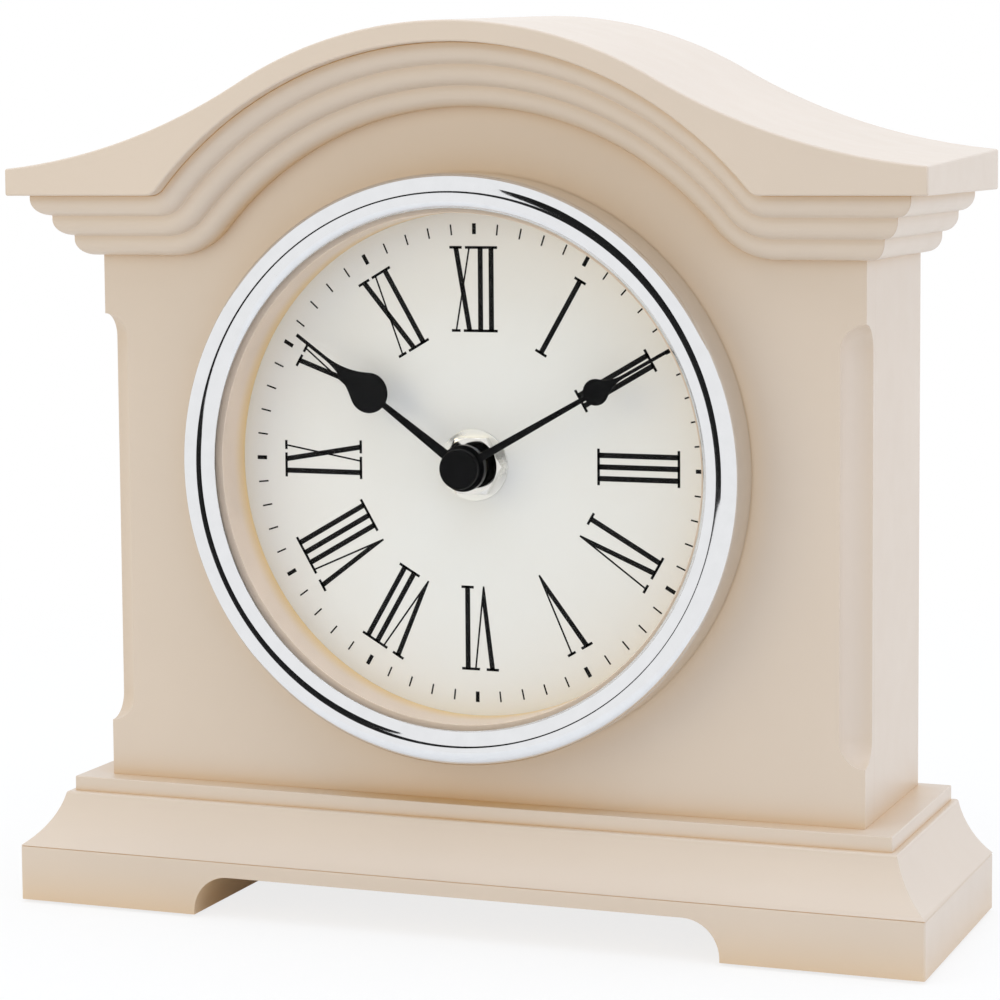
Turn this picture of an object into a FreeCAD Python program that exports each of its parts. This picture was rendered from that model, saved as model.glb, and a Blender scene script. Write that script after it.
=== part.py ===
import FreeCAD, Part
import math
import os

os.makedirs("parts", exist_ok=True)

Vector = FreeCAD.Vector
RIGHT = Vector(1, 0, 0)
BACK = Vector(0, 1, 0)
UP = Vector(0, 0, 1)

# Painted mantel clock with a serpentine cap and a radio-controlled quartz movement.
# Millimetres. X runs to the right, Y to the back and Z up. The origin is on the table, under the
# middle of the clock.

# Driving dimensions of the clock as a whole
overall_width = 250.0
overall_depth = 80.0
overrun = 3.0
edge_round = 0.6

# Base block: two feet with a channel between them that runs from front to back
base_setback = 1.0
base_height = 14.8
foot_width = 52.2
channel_height = 10.7
channel_corner_share = 0.91

# Felt pads under the feet
pad_thickness = 0.8
pad_radius = 9.0
pad_inset = 14.0

# Cove board on the base block
cove_projection = 9.2
cove_height = 13.0
cove_radius = 23.0
cove_lip_round = 0.8

# Plinth board, the flat band under the case
plinth_height = 3.9
plinth_front_projection = 6.3
plinth_side_projection = 8.5
plinth_back_projection = 2.4

# Case boards
case_side_setback = 19.5
case_setback = 18.6
case_back_setback = 4.4
board_thickness = 9.0
arch_radius = 105.0
arch_rise = 38.75
corner_round = 4.0

# Stopped flutes on the front corners of the case
flute_radius = 6.7
flute_foot_gap = 15.0
flute_head_gap = 15.9

# Cornice: three stepped quarter-rounds that follow the arch
ovolo_count = 3
ovolo_projection = 4.3
ovolo_height = 5.4
cornice_soffit = 1.5

# Cap board: crown arc and two hollow arcs, the top rising towards the back
cap_end_thickness = 7.1
cap_crown_height = 44.1
cap_crown_radius = 112.7
cap_crown_half_turn = math.radians(30.0)
cap_rise_to_back = 3.4

# Dial opening in the front panel, set in from the bezel
dial_opening_inset = 7.7
dial_step_depth = 3.7
dial_rebate_inset = 3.2

# Dial plate and its screws
dial_thickness = 1.0
dial_fit = 1.0
dial_hole_fit = 0.1
dial_screw_count = 4
dial_screw_radius = 0.8
dial_screw_length = 2.8
dial_screw_head_radius = 1.45
dial_screw_head_height = 0.8

# Bezel: one spun sheet with a straight wall, a small corner, a flat dome and an inner roll
bezel_radius = 76.2
bezel_foot_gap = 11.75
bezel_head_gap = 16.8
bezel_sheet = 1.0
bezel_wall_height = 11.9
bezel_corner_radius = 2.5
bezel_dome_radius = 9.0
bezel_roll_radius = 5.2
bezel_dome_start = math.radians(75.0)
bezel_dome_end = math.radians(100.0)
bezel_roll_end = math.radians(141.0)

# Glass and the painted surround between the glass and the dial
glass_thickness = 2.0
glass_edge_gap = 0.5
glass_lip_gap = 0.1
surround_wall = 2.2
surround_fit = 0.3
surround_flange = 1.5
surround_flange_fit = 0.1

# Hands, set at ten past ten
minute_hand_turn = math.radians(60.72)
hour_hand_turn = math.radians(306.05)
hand_thickness = 0.4
hand_gap = 0.6
hand_tip_width = 0.9
hour_hand_tip_gap = 8.6
hour_bulb_radius = 5.3
hour_bulb_from_tip = 25.2
hour_point_length = 9.7
hour_blade_width = 3.0
hour_neck_width = 1.3
hour_boss_radius = 6.1
hour_boss_thickness = 2.0
hour_collet_radius = 4.6
minute_hand_tip_gap = 1.3
minute_bulb_radius = 3.4
minute_bulb_from_tip = 22.5
minute_point_length = 14.2
minute_blade_width = 2.2
minute_neck_width = 1.2
minute_hub_radius = 4.2
hand_cap_radius = 5.3
hand_cap_thickness = 2.0
hand_cap_glass_gap = 1.9
hand_cap_bore_share = 0.5

# Nut, washer and threaded bush in the middle of the dial
washer_radius = 9.4
washer_thickness = 0.4
nut_width = 14.7
nut_thickness = 2.5
bush_radius = 4.0
bush_reach = 3.9
bush_flange_thickness = 0.8
boss_gap = 0.4
running_clearance = 0.05
hour_pipe_radius = 2.6
minute_arbor_radius = 1.75
arbor_tip_radius = 1.4
arbor_pivot_radius = 1.0

# Movement housing, seen from the front and measured from the dial axis
movement_half_width = 29.0
movement_drop = 48.0
movement_top = 38.0
movement_depth = 18.0
housing_wall = 1.5
cover_thickness = 1.5
cover_rim_depth = 1.2
cover_rim_fit = 0.1
finger_notch_radius = 8.0

# Battery and its contacts
battery_radius = 7.25
battery_length = 50.5
battery_fit = 0.25
battery_bay_fit = 0.75
battery_nub_radius = 2.75
battery_nub_length = 1.0
contact_sheet = 0.3
contact_width = 9.0
contact_gap = 0.1

# Gear train
motion_module = 0.3
cannon_teeth = 10
motion_wheel_teeth = 30
motion_pinion_teeth = 8
hour_wheel_teeth = 32
train_module = 0.25
centre_wheel_teeth = 60
intermediate_pinion_teeth = 10
intermediate_wheel_teeth = 40
rotor_pinion_teeth = 8
tooth_tip_share = 0.9
tooth_root_share = 1.2
tooth_tip_width_share = 0.2
tooth_root_width_share = 0.5
wheel_thickness = 1.0
layer_gap = 0.3
post_radius = 0.5
rotor_post_radius = 0.4
rotor_radius = 2.5
rotor_length = 3.0
rotor_turn_from_train = math.radians(30.0)

# Train bridge, its pillars and screws
bridge_thickness = 1.2
bridge_margin = 3.5
pillar_radius = 1.5
pillar_reach_up = 12.0
pillar_reach_right = 10.0
bridge_screw_radius = 0.6
bridge_screw_length = 4.0
bridge_screw_head_radius = 1.3
bridge_screw_head_height = 0.9

# Stator, bobbin and winding of the step motor
stator_thickness = 0.8
stator_air_gap = 0.4
stator_rim = 0.7
stator_half_length = 11.0
stator_arm_width = 3.0
core_width = 1.6
bobbin_radius = 2.9
bobbin_tube_radius = 1.5
bobbin_flange = 0.8
bobbin_gap = 0.5
winding_depth = 1.1

# Ferrite aerial with its winding and saddles
aerial_radius = 3.5
aerial_length = 48.0
aerial_winding_radius = 4.3
aerial_winding_length = 20.0
aerial_gap = 0.3
saddle_thickness = 2.0
saddle_spread_share = 0.76

# Circuit board, crystal, chip and switch domes
board_sheet = 1.0
board_edge_gap = 2.0
board_pillar_inset = 1.6
crystal_radius = 1.0
crystal_length = 6.0
chip_radius = 4.0
chip_height = 1.0
dome_radius = 2.2
dome_height = 0.4
dome_gap = 0.3

# Push buttons in the back cover
button_count = 3
button_spacing = 12.0
button_rise = 19.0
button_radius = 2.0
button_proud = 1.2
button_travel = 1.0
button_flange_radius = 2.8
button_flange_thickness = 0.6

# Back panel, battens and screws
back_thickness = 4.0
back_fit = 0.25
batten_width = 8.0
back_screw_count = 3
back_screw_radius = 1.25
back_screw_length = 10.0
back_screw_head_radius = 2.6
back_screw_head_height = 1.4
back_screw_margin = 18.0

# Back door
door_half_width = 55.0
door_height = 105.0
door_drop = 56.0
door_gap = 0.75
door_knob_inset = 10.0
door_knob_radius = 4.5
door_knob_height = 4.2
door_knob_neck_share = 0.6
door_knob_neck_height_share = 0.4
knob_screw_radius = 1.0
knob_screw_head_radius = 2.2
knob_screw_head_height = 1.0

# Hinges of the back door
hinge_length = 20.0
hinge_end_gap = 14.0
hinge_leaf_width = 9.0
hinge_leaf_thickness = 0.8
hinge_knuckle_radius = 1.5
hinge_knuckle_gap = 0.2
hinge_knuckle_lift = 0.4
hinge_pin_radius = 0.6
hinge_pin_head_radius = 1.0
hinge_pin_head_height = 0.5
hinge_screw_radius = 0.75
hinge_screw_length = 3.4
hinge_screw_head_radius = 1.5
hinge_screw_head_height = 0.6
hinge_screw_share = 0.28

# Magnetic catch
stop_length = 20.0
stop_depth = 8.0
stop_lap = 6.0
stop_hold = 12.0
stop_gap = 0.1
magnet_radius = 2.2
magnet_length = 5.0
strike_radius = 2.6
strike_thickness = 0.6

# Levels and places that follow from the values above
half_width = overall_width / 2
front = -overall_depth / 2
base_front = front + base_setback
base_back = -base_front
base_top = pad_thickness + base_height
channel_half_width = half_width - foot_width
channel_corner = channel_height * channel_corner_share
cove_top = base_top + cove_height + cove_lip_round
case_bottom = cove_top + plinth_height
case_half_width = half_width - case_side_setback
case_inner_half_width = case_half_width - board_thickness
case_front = front + case_setback
case_back = -front - case_back_setback
panel_back = case_front + board_thickness
cornice_projection = ovolo_count * ovolo_projection + cornice_soffit
cornice_height = ovolo_count * ovolo_height
dial_z = case_bottom + bezel_foot_gap + bezel_radius
crown_underside = dial_z + bezel_radius + bezel_head_gap + cornice_height
underside = crown_underside - arch_rise
arch_centre = crown_underside - arch_radius
arch_half_turn = math.acos((underside + corner_round - arch_centre) / (arch_radius + corner_round))
corner_x = (arch_radius + corner_round) * math.sin(arch_half_turn)
corner_z = underside + corner_round

dial_opening_radius = bezel_radius - dial_opening_inset
dial_rebate_radius = bezel_radius - dial_rebate_inset
dial_face = case_front + dial_step_depth
dial_back = dial_face + dial_thickness
dial_radius = dial_rebate_radius - dial_fit
bezel_inner_radius = bezel_radius - bezel_sheet
corner_centre = (bezel_radius - bezel_corner_radius, bezel_wall_height)
dome_shift = bezel_corner_radius - bezel_dome_radius
dome_centre = (
    corner_centre[0] + dome_shift * math.cos(bezel_dome_start),
    corner_centre[1] + dome_shift * math.sin(bezel_dome_start),
)
roll_shift = bezel_dome_radius - bezel_roll_radius
roll_centre = (
    dome_centre[0] + roll_shift * math.cos(bezel_dome_end),
    dome_centre[1] + roll_shift * math.sin(bezel_dome_end),
)
lip_height = roll_centre[1] + (bezel_roll_radius - bezel_sheet) * math.sin(bezel_roll_end)
glass_front = case_front - lip_height + glass_lip_gap
glass_back = glass_front + glass_thickness
glass_radius = bezel_inner_radius - glass_edge_gap
surround_radius = dial_opening_radius - surround_fit
surround_bore = surround_radius - surround_wall

hour_hand_length = surround_bore - hour_hand_tip_gap
hour_bulb_place = hour_hand_length - hour_bulb_from_tip
minute_hand_length = surround_bore - minute_hand_tip_gap
minute_bulb_place = minute_hand_length - minute_bulb_from_tip

hand_cap_front = glass_back + hand_cap_glass_gap
minute_hand_front = hand_cap_front + hand_cap_thickness
minute_hand_back = minute_hand_front + hand_thickness
hour_hand_front = minute_hand_back + hand_gap
hour_hand_back = hour_hand_front + hand_thickness
washer_front = dial_face - washer_thickness
nut_front = washer_front - nut_thickness
bush_front = dial_face - bush_reach
bush_bore = hour_pipe_radius + running_clearance
hour_pipe_bore = minute_arbor_radius + running_clearance

housing_front = dial_back
housing_back = housing_front + movement_depth - cover_thickness
housing_floor = housing_front + housing_wall
cover_back = housing_back + cover_thickness
housing_inner_half_width = movement_half_width - housing_wall
battery_bay_bottom = dial_z - movement_drop + housing_wall
battery_bay_height = (battery_radius + battery_bay_fit) * 2
battery_z = battery_bay_bottom + battery_bay_height / 2
battery_y = housing_floor + battery_fit + battery_radius
divider_bottom = battery_bay_bottom + battery_bay_height
train_room_bottom = divider_bottom + housing_wall
train_room_top = dial_z + movement_top - housing_wall

hour_wheel_front = housing_floor + bush_flange_thickness + layer_gap
hour_wheel_back = hour_wheel_front + wheel_thickness
motion_wheel_front = hour_wheel_back + layer_gap
motion_wheel_back = motion_wheel_front + wheel_thickness
cannon_front = hour_wheel_back + layer_gap / 2
centre_wheel_front = motion_wheel_back + layer_gap
centre_wheel_back = centre_wheel_front + wheel_thickness
intermediate_wheel_front = centre_wheel_back + layer_gap
intermediate_wheel_back = intermediate_wheel_front + wheel_thickness
bridge_front = intermediate_wheel_back + layer_gap
bridge_back = bridge_front + bridge_thickness
rotor_back = intermediate_wheel_front - layer_gap
rotor_front = rotor_back - rotor_length

motion_distance = motion_module * (cannon_teeth + motion_wheel_teeth) / 2
train_distance = train_module * (centre_wheel_teeth + intermediate_pinion_teeth) / 2
rotor_distance = train_module * (intermediate_wheel_teeth + rotor_pinion_teeth) / 2
motion_x = motion_distance
bush_flange_radius = motion_x - post_radius - layer_gap
intermediate_x = -train_distance
rotor_x = intermediate_x - rotor_distance * math.cos(rotor_turn_from_train)
rotor_z = dial_z + rotor_distance * math.sin(rotor_turn_from_train)

stator_hole = rotor_radius + stator_air_gap
stator_right = rotor_x + stator_hole + stator_rim
stator_left = rotor_x - stator_hole - stator_rim
stator_bottom = rotor_z - stator_half_length
stator_top = rotor_z + stator_half_length
stator_front = (rotor_front + rotor_back - stator_thickness) / 2
stator_back = stator_front + stator_thickness
coil_x = stator_left - bobbin_gap - bobbin_radius
coil_y = (stator_front + stator_back) / 2
core_bottom = stator_bottom + stator_arm_width
core_top = stator_top - stator_arm_width

pillar_places = (
    (pillar_reach_right, dial_z + pillar_reach_up),
    (pillar_reach_right, dial_z - pillar_reach_up),
    (stator_right + pillar_radius * 2, dial_z + pillar_reach_up),
    (stator_right + pillar_radius * 2, dial_z - pillar_reach_up),
)

aerial_y = housing_floor + aerial_winding_radius + aerial_gap
aerial_z = train_room_top - aerial_winding_radius - aerial_gap
saddle_x = aerial_length / 2 * saddle_spread_share

board_back = housing_back - button_flange_thickness - button_travel - dome_gap - dome_height
board_front = board_back - board_sheet
board_half_width = housing_inner_half_width - board_edge_gap
board_bottom = train_room_bottom + board_edge_gap
board_top = aerial_z - aerial_winding_radius - aerial_gap
board_pillar_reach = board_half_width - board_pillar_inset
board_pillar_places = (
    (-board_pillar_reach, board_bottom + board_pillar_inset),
    (board_pillar_reach, board_bottom + board_pillar_inset),
    (-board_pillar_reach, board_top - board_pillar_inset),
    (board_pillar_reach, board_top - board_pillar_inset),
)

button_names = ("button_set", "button_receive", "button_reset")
button_places = [(i - (button_count - 1) / 2) * button_spacing for i in range(button_count)]
button_z = dial_z + button_rise

back_front = case_back - back_thickness
door_bottom = dial_z - door_drop
door_top = door_bottom + door_height
door_left = -door_half_width + door_gap
door_right = door_half_width - door_gap
door_middle = (door_bottom + door_top) / 2
hinge_x = -door_half_width + door_gap / 2
hinge_y = case_back + hinge_knuckle_radius + hinge_knuckle_lift
hinge_places = (door_bottom + hinge_end_gap, door_top - hinge_end_gap - hinge_length)
knob_x = door_right - door_knob_inset
strike_x = door_half_width - stop_lap / 2


def block(x0, x1, y0, y1, z0, z1):
    """A box between two corners."""
    return Part.makeBox(x1 - x0, y1 - y0, z1 - z0, Vector(x0, y0, z0))


def disc(radius, y0, y1, x=0, z=dial_z):
    """A cylinder along Y, on the dial axis unless it is given another place."""
    return Part.makeCylinder(radius, y1 - y0, Vector(x, y0, z), BACK)


def post(radius, z0, z1, x, y):
    """A cylinder along Z."""
    return Part.makeCylinder(radius, z1 - z0, Vector(x, y, z0), UP)


def bar(radius, x0, x1, y, z):
    """A cylinder along X."""
    return Part.makeCylinder(radius, x1 - x0, Vector(x0, y, z), RIGHT)


def fused(first, *others):
    """One solid from pieces that touch or overlap."""
    return first.multiFuse(list(others)).removeSplitter()


def segments(points):
    """The straight edges through a list of points."""
    return [Part.makeLine(a, b) for a, b in zip(points, points[1:])]


def arc(centre, radius, start, end, place):
    """A circular edge; place turns its two plane coordinates into a point in space."""
    angles = (start, (start + end) / 2, end)
    ends = [(centre[0] + radius * math.cos(a), centre[1] + radius * math.sin(a)) for a in angles]
    return Part.Arc(*[place(*point) for point in ends]).toShape()


def upright(y):
    """Places plane coordinates in the upright plane at a depth of y."""
    return lambda x, z: Vector(x, y, z)


def face_of(edges):
    """The flat face inside a closed run of edges."""
    return Part.Face(Part.Wire(Part.__sortEdges__(edges)))


def rounded(shape, radius, chosen):
    """The shape with the chosen edges rounded."""
    return shape.makeFillet(radius, [edge for edge in shape.Edges if chosen(edge.CenterOfMass)])


def arched_board(reach, bottom, gap, y0, y1):
    """A board whose top follows the cap's underside, a gap below it."""
    place = upright(y0)
    wing = underside - gap
    turn = arch_half_turn
    down = -math.pi / 2
    up = math.pi / 2
    corner = corner_round + gap
    edges = segments([
        place(-corner_x, wing),
        place(-reach, wing),
        place(-reach, bottom),
        place(reach, bottom),
        place(reach, wing),
        place(corner_x, wing),
    ])
    edges.append(arc((corner_x, corner_z), corner, down, down - turn, place))
    edges.append(arc((-corner_x, corner_z), corner, down, down + turn, place))
    edges.append(arc((0, arch_centre), arch_radius - gap, up - turn, up + turn, place))
    return face_of(edges).extrude(BACK * (y1 - y0))


def turned(section, place_x=0, place_z=dial_z, angle=math.tau):
    """A flat section turned about an axis along Y."""
    return section.revolve(Vector(place_x, 0, place_z), BACK, math.degrees(angle))


def headed_screw(radius, length, head_radius, head_height, x, y, z, direction):
    """A domed screw along Y whose head stands on the face at y, on the side of direction."""
    tip = y - direction * length
    shank = disc(radius, min(tip, y), max(tip, y), x, z)
    dome_radius = (head_radius ** 2 + head_height ** 2) / (head_height * 2)
    ball = Part.makeSphere(dome_radius, Vector(x, y + direction * (head_height - dome_radius), z))
    top = y + direction * head_height
    head = disc(head_radius, min(y, top), max(y, top), x, z).common(ball)
    return fused(shank, head)


def base_block():
    body = block(-half_width, half_width, base_front, base_back, pad_thickness, base_top)
    body = rounded(body, edge_round, lambda c: abs(c.z - pad_thickness) > edge_round)
    ceiling = pad_thickness + channel_height
    place = upright(base_front - overrun)
    reach = channel_half_width
    turn = channel_corner
    edges = segments([
        place(-reach, ceiling - turn),
        place(-reach, pad_thickness - overrun),
        place(reach, pad_thickness - overrun),
        place(reach, ceiling - turn),
    ])
    edges += segments([place(turn - reach, ceiling), place(reach - turn, ceiling)])
    edges.append(arc((reach - turn, ceiling - turn), turn, 0, math.pi / 2, place))
    edges.append(arc((turn - reach, ceiling - turn), turn, math.pi / 2, math.pi, place))
    channel = face_of(edges).extrude(BACK * (base_back - base_front + overrun * 2))
    return body.cut(channel)


def felt_pads():
    x = half_width - pad_inset
    y = base_back - pad_inset
    return [post(pad_radius, 0, pad_thickness, i * x, j * y) for i in (-1, 1) for j in (-1, 1)]


def cove_edges(outer, place):
    """The cove's section on one side: outer is the coordinate of its lower edge."""
    low = (outer, base_top)
    high = (outer - cove_projection, base_top + cove_height)
    middle = ((low[0] + high[0]) / 2, (low[1] + high[1]) / 2)
    half_chord = math.hypot(cove_projection, cove_height) / 2
    lift = math.sqrt(cove_radius ** 2 - half_chord ** 2) / (half_chord * 2)
    centre = (middle[0] + cove_height * lift, middle[1] + cove_projection * lift)
    start = math.atan2(low[1] - centre[1], low[0] - centre[0]) + math.tau
    end = math.atan2(high[1] - centre[1], high[0] - centre[0])
    lip = (high[0] - cove_lip_round, high[1])
    return [
        arc(centre, cove_radius, start, end % math.tau, place),
        arc(lip, cove_lip_round, 0, math.pi / 2, place),
    ]


def cove_board():
    """Two crossing mouldings, so that the front and the sides meet in mitres."""
    def across(x, z):
        return Vector(x, base_front, z)

    def mirrored(x, z):
        return Vector(-x, base_front, z)

    def forward(out, z):
        return Vector(-half_width, -out, z)

    shoulder = half_width - cove_projection - cove_lip_round
    side_edges = cove_edges(half_width, across) + cove_edges(half_width, mirrored)
    side_edges += segments([across(-half_width, base_top), across(half_width, base_top)])
    side_edges += segments([across(-shoulder, cove_top), across(shoulder, cove_top)])
    lengthwise = face_of(side_edges).extrude(BACK * (base_back - base_front))
    shoulder = -base_front - cove_projection - cove_lip_round
    front_edges = cove_edges(-base_front, forward)
    front_edges += segments([
        forward(-base_front, base_top),
        forward(-base_back, base_top),
        forward(-base_back, cove_top),
        forward(shoulder, cove_top),
    ])
    crosswise = face_of(front_edges).extrude(RIGHT * overall_width)
    return lengthwise.common(crosswise)


def plinth_board():
    reach = case_half_width + plinth_side_projection
    body = block(
        -reach, reach,
        case_front - plinth_front_projection, case_back + plinth_back_projection,
        cove_top, case_bottom,
    )
    return rounded(body, edge_round / 2, lambda c: c.z > cove_top + edge_round)


def flute(side):
    """The cutter of one stopped flute: a round groove with ball ends."""
    x = side * case_half_width
    low = case_bottom + flute_foot_gap + flute_radius
    high = underside - cornice_height - flute_head_gap - flute_radius
    groove = post(flute_radius, low, high, x, case_front)
    ends = [Part.makeSphere(flute_radius, Vector(x, case_front, z)) for z in (low, high)]
    return groove.multiFuse(ends)


def front_panel():
    board = arched_board(case_half_width, case_bottom, 0, case_front, panel_back)
    bore = disc(dial_opening_radius, case_front - overrun, dial_face + overrun)
    rebate = disc(dial_rebate_radius, dial_face, panel_back + overrun)
    return board.cut([bore, rebate, flute(-1), flute(1)])


def side_board(side):
    inner = side * case_inner_half_width
    outer = side * case_half_width
    return block(min(inner, outer), max(inner, outer), panel_back, case_back, case_bottom, underside)


def cap_board():
    crown = underside + cap_crown_height
    end_top = underside + cap_end_thickness
    turn = cap_crown_half_turn
    normal = (math.sin(turn), math.cos(turn))
    crown_centre = crown - cap_crown_radius
    tangent = (cap_crown_radius * normal[0], crown_centre + cap_crown_radius * normal[1])
    run = (tangent[0] - half_width, tangent[1] - end_top)
    toward = run[0] * normal[0] + run[1] * normal[1]
    hollow_radius = -(run[0] ** 2 + run[1] ** 2) / (toward * 2)
    hollow = (tangent[0] + hollow_radius * normal[0], tangent[1] + hollow_radius * normal[1])
    start = math.atan2(tangent[1] - hollow[1], tangent[0] - hollow[0])
    end = math.atan2(end_top - hollow[1], half_width - hollow[0])
    place = upright(front)
    up = math.pi / 2
    low = underside - cap_rise_to_back
    edges = [
        arc((0, crown_centre), cap_crown_radius, up - turn, up + turn, place),
        arc(hollow, hollow_radius, start, end, place),
        arc((-hollow[0], hollow[1]), hollow_radius, math.pi - start, math.pi - end, place),
    ]
    edges += segments([
        place(-half_width, end_top),
        place(-half_width, low),
        place(half_width, low),
        place(half_width, end_top),
    ])
    body = face_of(edges).extrude(Vector(0, overall_depth, cap_rise_to_back))
    room = arched_board(half_width + overrun, low - overrun, 0, front - overrun, -front + overrun)
    body = body.cut(room)
    return rounded(body, edge_round, lambda c: abs(c.y) > -front - edge_round or c.z > end_top)


def cornice_section(place):
    """Section of the cornice; place takes the projection and the drop below the cap."""
    projection = cornice_projection
    drop = 0
    edges = segments([place(0, 0), place(projection, 0)])
    for _ in range(ovolo_count):
        inner = projection - ovolo_projection
        bend = drop + ovolo_height - ovolo_projection
        edges += segments([place(projection, drop), place(projection, bend)])
        edges.append(arc((inner, bend), ovolo_projection, 0, math.pi / 2, place))
        projection = inner
        drop += ovolo_height
    edges += segments([place(projection, drop), place(0, drop), place(0, 0)])
    return face_of(edges)


def mitre(side, keep_front):
    """The wedge to cut away at a case corner, in front of or beside the mitre plane."""
    reach = cornice_projection + overrun
    low = underside - cornice_height - overrun
    corner = (side * case_half_width, case_front)
    outer = (corner[0] + side * reach, corner[1] - reach)
    third = (outer[0], corner[1]) if keep_front else (corner[0], outer[1])
    points = [Vector(x, y, low) for x, y in (corner, outer, third, corner)]
    return face_of(segments(points)).extrude(UP * (cornice_height + overrun * 2))


def cornice_front():
    def on_wing(out, drop):
        return Vector(corner_x, case_front - out, underside - drop)

    def on_crown(out, drop):
        return Vector(0, case_front - out, arch_centre + arch_radius - drop)

    reach = case_half_width + cornice_projection - corner_x
    wing = cornice_section(on_wing).extrude(RIGHT * reach)
    wing = wing.cut(mitre(1, True))
    corner = turned(cornice_section(on_wing), corner_x, corner_z, arch_half_turn)
    section = cornice_section(on_crown)
    section.rotate(Vector(0, 0, arch_centre), BACK, -math.degrees(arch_half_turn))
    arch = turned(section, 0, arch_centre, arch_half_turn * 2)
    right = [wing, corner]
    left = [piece.mirror(Vector(0, 0, 0), RIGHT) for piece in right]
    return fused(arch, *right, *left)


def cornice_side(side):
    def on_side(out, drop):
        return Vector(side * (case_half_width + out), case_front - cornice_projection, underside - drop)

    run = case_back - case_front + cornice_projection
    return cornice_section(on_side).extrude(BACK * run).cut(mitre(side, False))


def bezel():
    def place(radius, height):
        return Vector(radius, case_front - height, dial_z)

    chain = (
        (corner_centre, bezel_corner_radius, 0, bezel_dome_start),
        (dome_centre, bezel_dome_radius, bezel_dome_start, bezel_dome_end),
        (roll_centre, bezel_roll_radius, bezel_dome_end, bezel_roll_end),
    )
    edges = segments([
        place(bezel_radius, bezel_wall_height),
        place(bezel_radius, 0),
        place(bezel_inner_radius, 0),
        place(bezel_inner_radius, bezel_wall_height),
    ])
    for centre, radius, start, end in chain:
        edges.append(arc(centre, radius, start, end, place))
        edges.append(arc(centre, radius - bezel_sheet, start, end, place))
    lip = [
        (
            roll_centre[0] + radius * math.cos(bezel_roll_end),
            roll_centre[1] + radius * math.sin(bezel_roll_end),
        )
        for radius in (bezel_roll_radius, bezel_roll_radius - bezel_sheet)
    ]
    edges += segments([place(*lip[0]), place(*lip[1])])
    return turned(face_of(edges))


def glass():
    return disc(glass_radius, glass_front, glass_back)


def dial_surround():
    tube = disc(surround_radius, glass_back, dial_face)
    flange = disc(
        bezel_inner_radius - surround_flange_fit, case_front - surround_flange, case_front
    )
    return fused(tube, flange).cut(disc(surround_bore, glass_back - overrun, dial_face + overrun))


def dial_screw_places():
    reach = (dial_opening_radius + dial_radius) / 2
    step = math.tau / dial_screw_count
    angles = [step * (i + 0.5) for i in range(dial_screw_count)]
    return [(reach * math.cos(a), dial_z + reach * math.sin(a)) for a in angles]


def dial_plate():
    plate = disc(dial_radius, dial_face, dial_back)
    holes = [disc(bush_radius + dial_hole_fit, dial_face - overrun, dial_back + overrun)]
    for x, z in dial_screw_places():
        holes.append(disc(dial_screw_radius, dial_face - overrun, dial_back + overrun, x, z))
    return plate.cut(holes)


def dial_screws():
    return [
        headed_screw(
            dial_screw_radius, dial_screw_length,
            dial_screw_head_radius, dial_screw_head_height, x, dial_back, z, 1,
        )
        for x, z in dial_screw_places()
    ]


def bored_front_panel():
    depth = dial_back - dial_screw_length
    holes = [disc(dial_screw_radius, depth, dial_back, x, z) for x, z in dial_screw_places()]
    return front_panel().cut(holes)


def dial_washer():
    return disc(washer_radius, washer_front, dial_face).cut(
        disc(bush_radius, washer_front - overrun, dial_face + overrun)
    )


def hex_nut():
    corner = nut_width / 2 / math.cos(math.pi / 6)
    place = upright(nut_front)
    turns = [i * math.pi / 3 for i in range(7)]
    points = [place(corner * math.cos(a), dial_z + corner * math.sin(a)) for a in turns]
    nut = face_of(segments(points)).extrude(BACK * nut_thickness)
    chamfer = Part.makeCone(
        nut_width / 2, nut_width / 2 + nut_thickness * 2, nut_thickness,
        Vector(0, nut_front, dial_z), BACK,
    )
    return nut.common(chamfer).cut(disc(bush_radius, nut_front - overrun, washer_front + overrun))


def threaded_bush():
    tube = disc(bush_radius, bush_front, housing_floor)
    flange = disc(bush_flange_radius, housing_floor, housing_floor + bush_flange_thickness)
    bore = disc(bush_bore, bush_front - overrun, hour_wheel_front + overrun)
    return fused(tube, flange).cut(bore)


def hand_blade(length, point, bulb_radius, bulb_place, blade_width, neck_width, y0, y1):
    """A hand that points to twelve: a tapered blade, a round bulb, hollow flanks and a point."""
    def place(x, along):
        return Vector(x, y0, dial_z + along)

    tip = hand_tip_width / 2
    flank_top = length - point
    rise = flank_top - bulb_place
    flank = (rise ** 2 + tip ** 2 - bulb_radius ** 2) / ((bulb_radius - tip) * 2)
    turn = math.atan2(rise, flank + tip)
    end = math.pi + turn
    foot = (
        tip + flank - flank * math.cos(turn),
        flank_top - flank * math.sin(turn),
    )
    edges = segments([
        place(-tip, flank_top), place(-tip, length), place(tip, length), place(tip, flank_top),
    ])
    edges += segments([
        place(foot[0], foot[1]), place(0, bulb_place), place(-foot[0], foot[1]),
    ])
    edges.append(arc((tip + flank, flank_top), flank, math.pi, end, place))
    edges.append(arc((-tip - flank, flank_top), flank, 0, -turn, place))
    outer = face_of(edges).extrude(BACK * (y1 - y0))
    bulb = disc(bulb_radius, y0, y1, 0, dial_z + bulb_place)
    wide = blade_width / 2
    thin = neck_width / 2
    corners = [(-wide, 0), (wide, 0), (thin, bulb_place), (-thin, bulb_place), (-wide, 0)]
    blade = face_of(segments([place(*corner) for corner in corners])).extrude(BACK * (y1 - y0))
    return [outer, bulb, blade]


def set_to(shape, angle):
    """Turns a hand clockwise from twelve about the dial axis."""
    shape.rotate(Vector(0, 0, dial_z), BACK, math.degrees(angle))
    return shape


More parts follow.
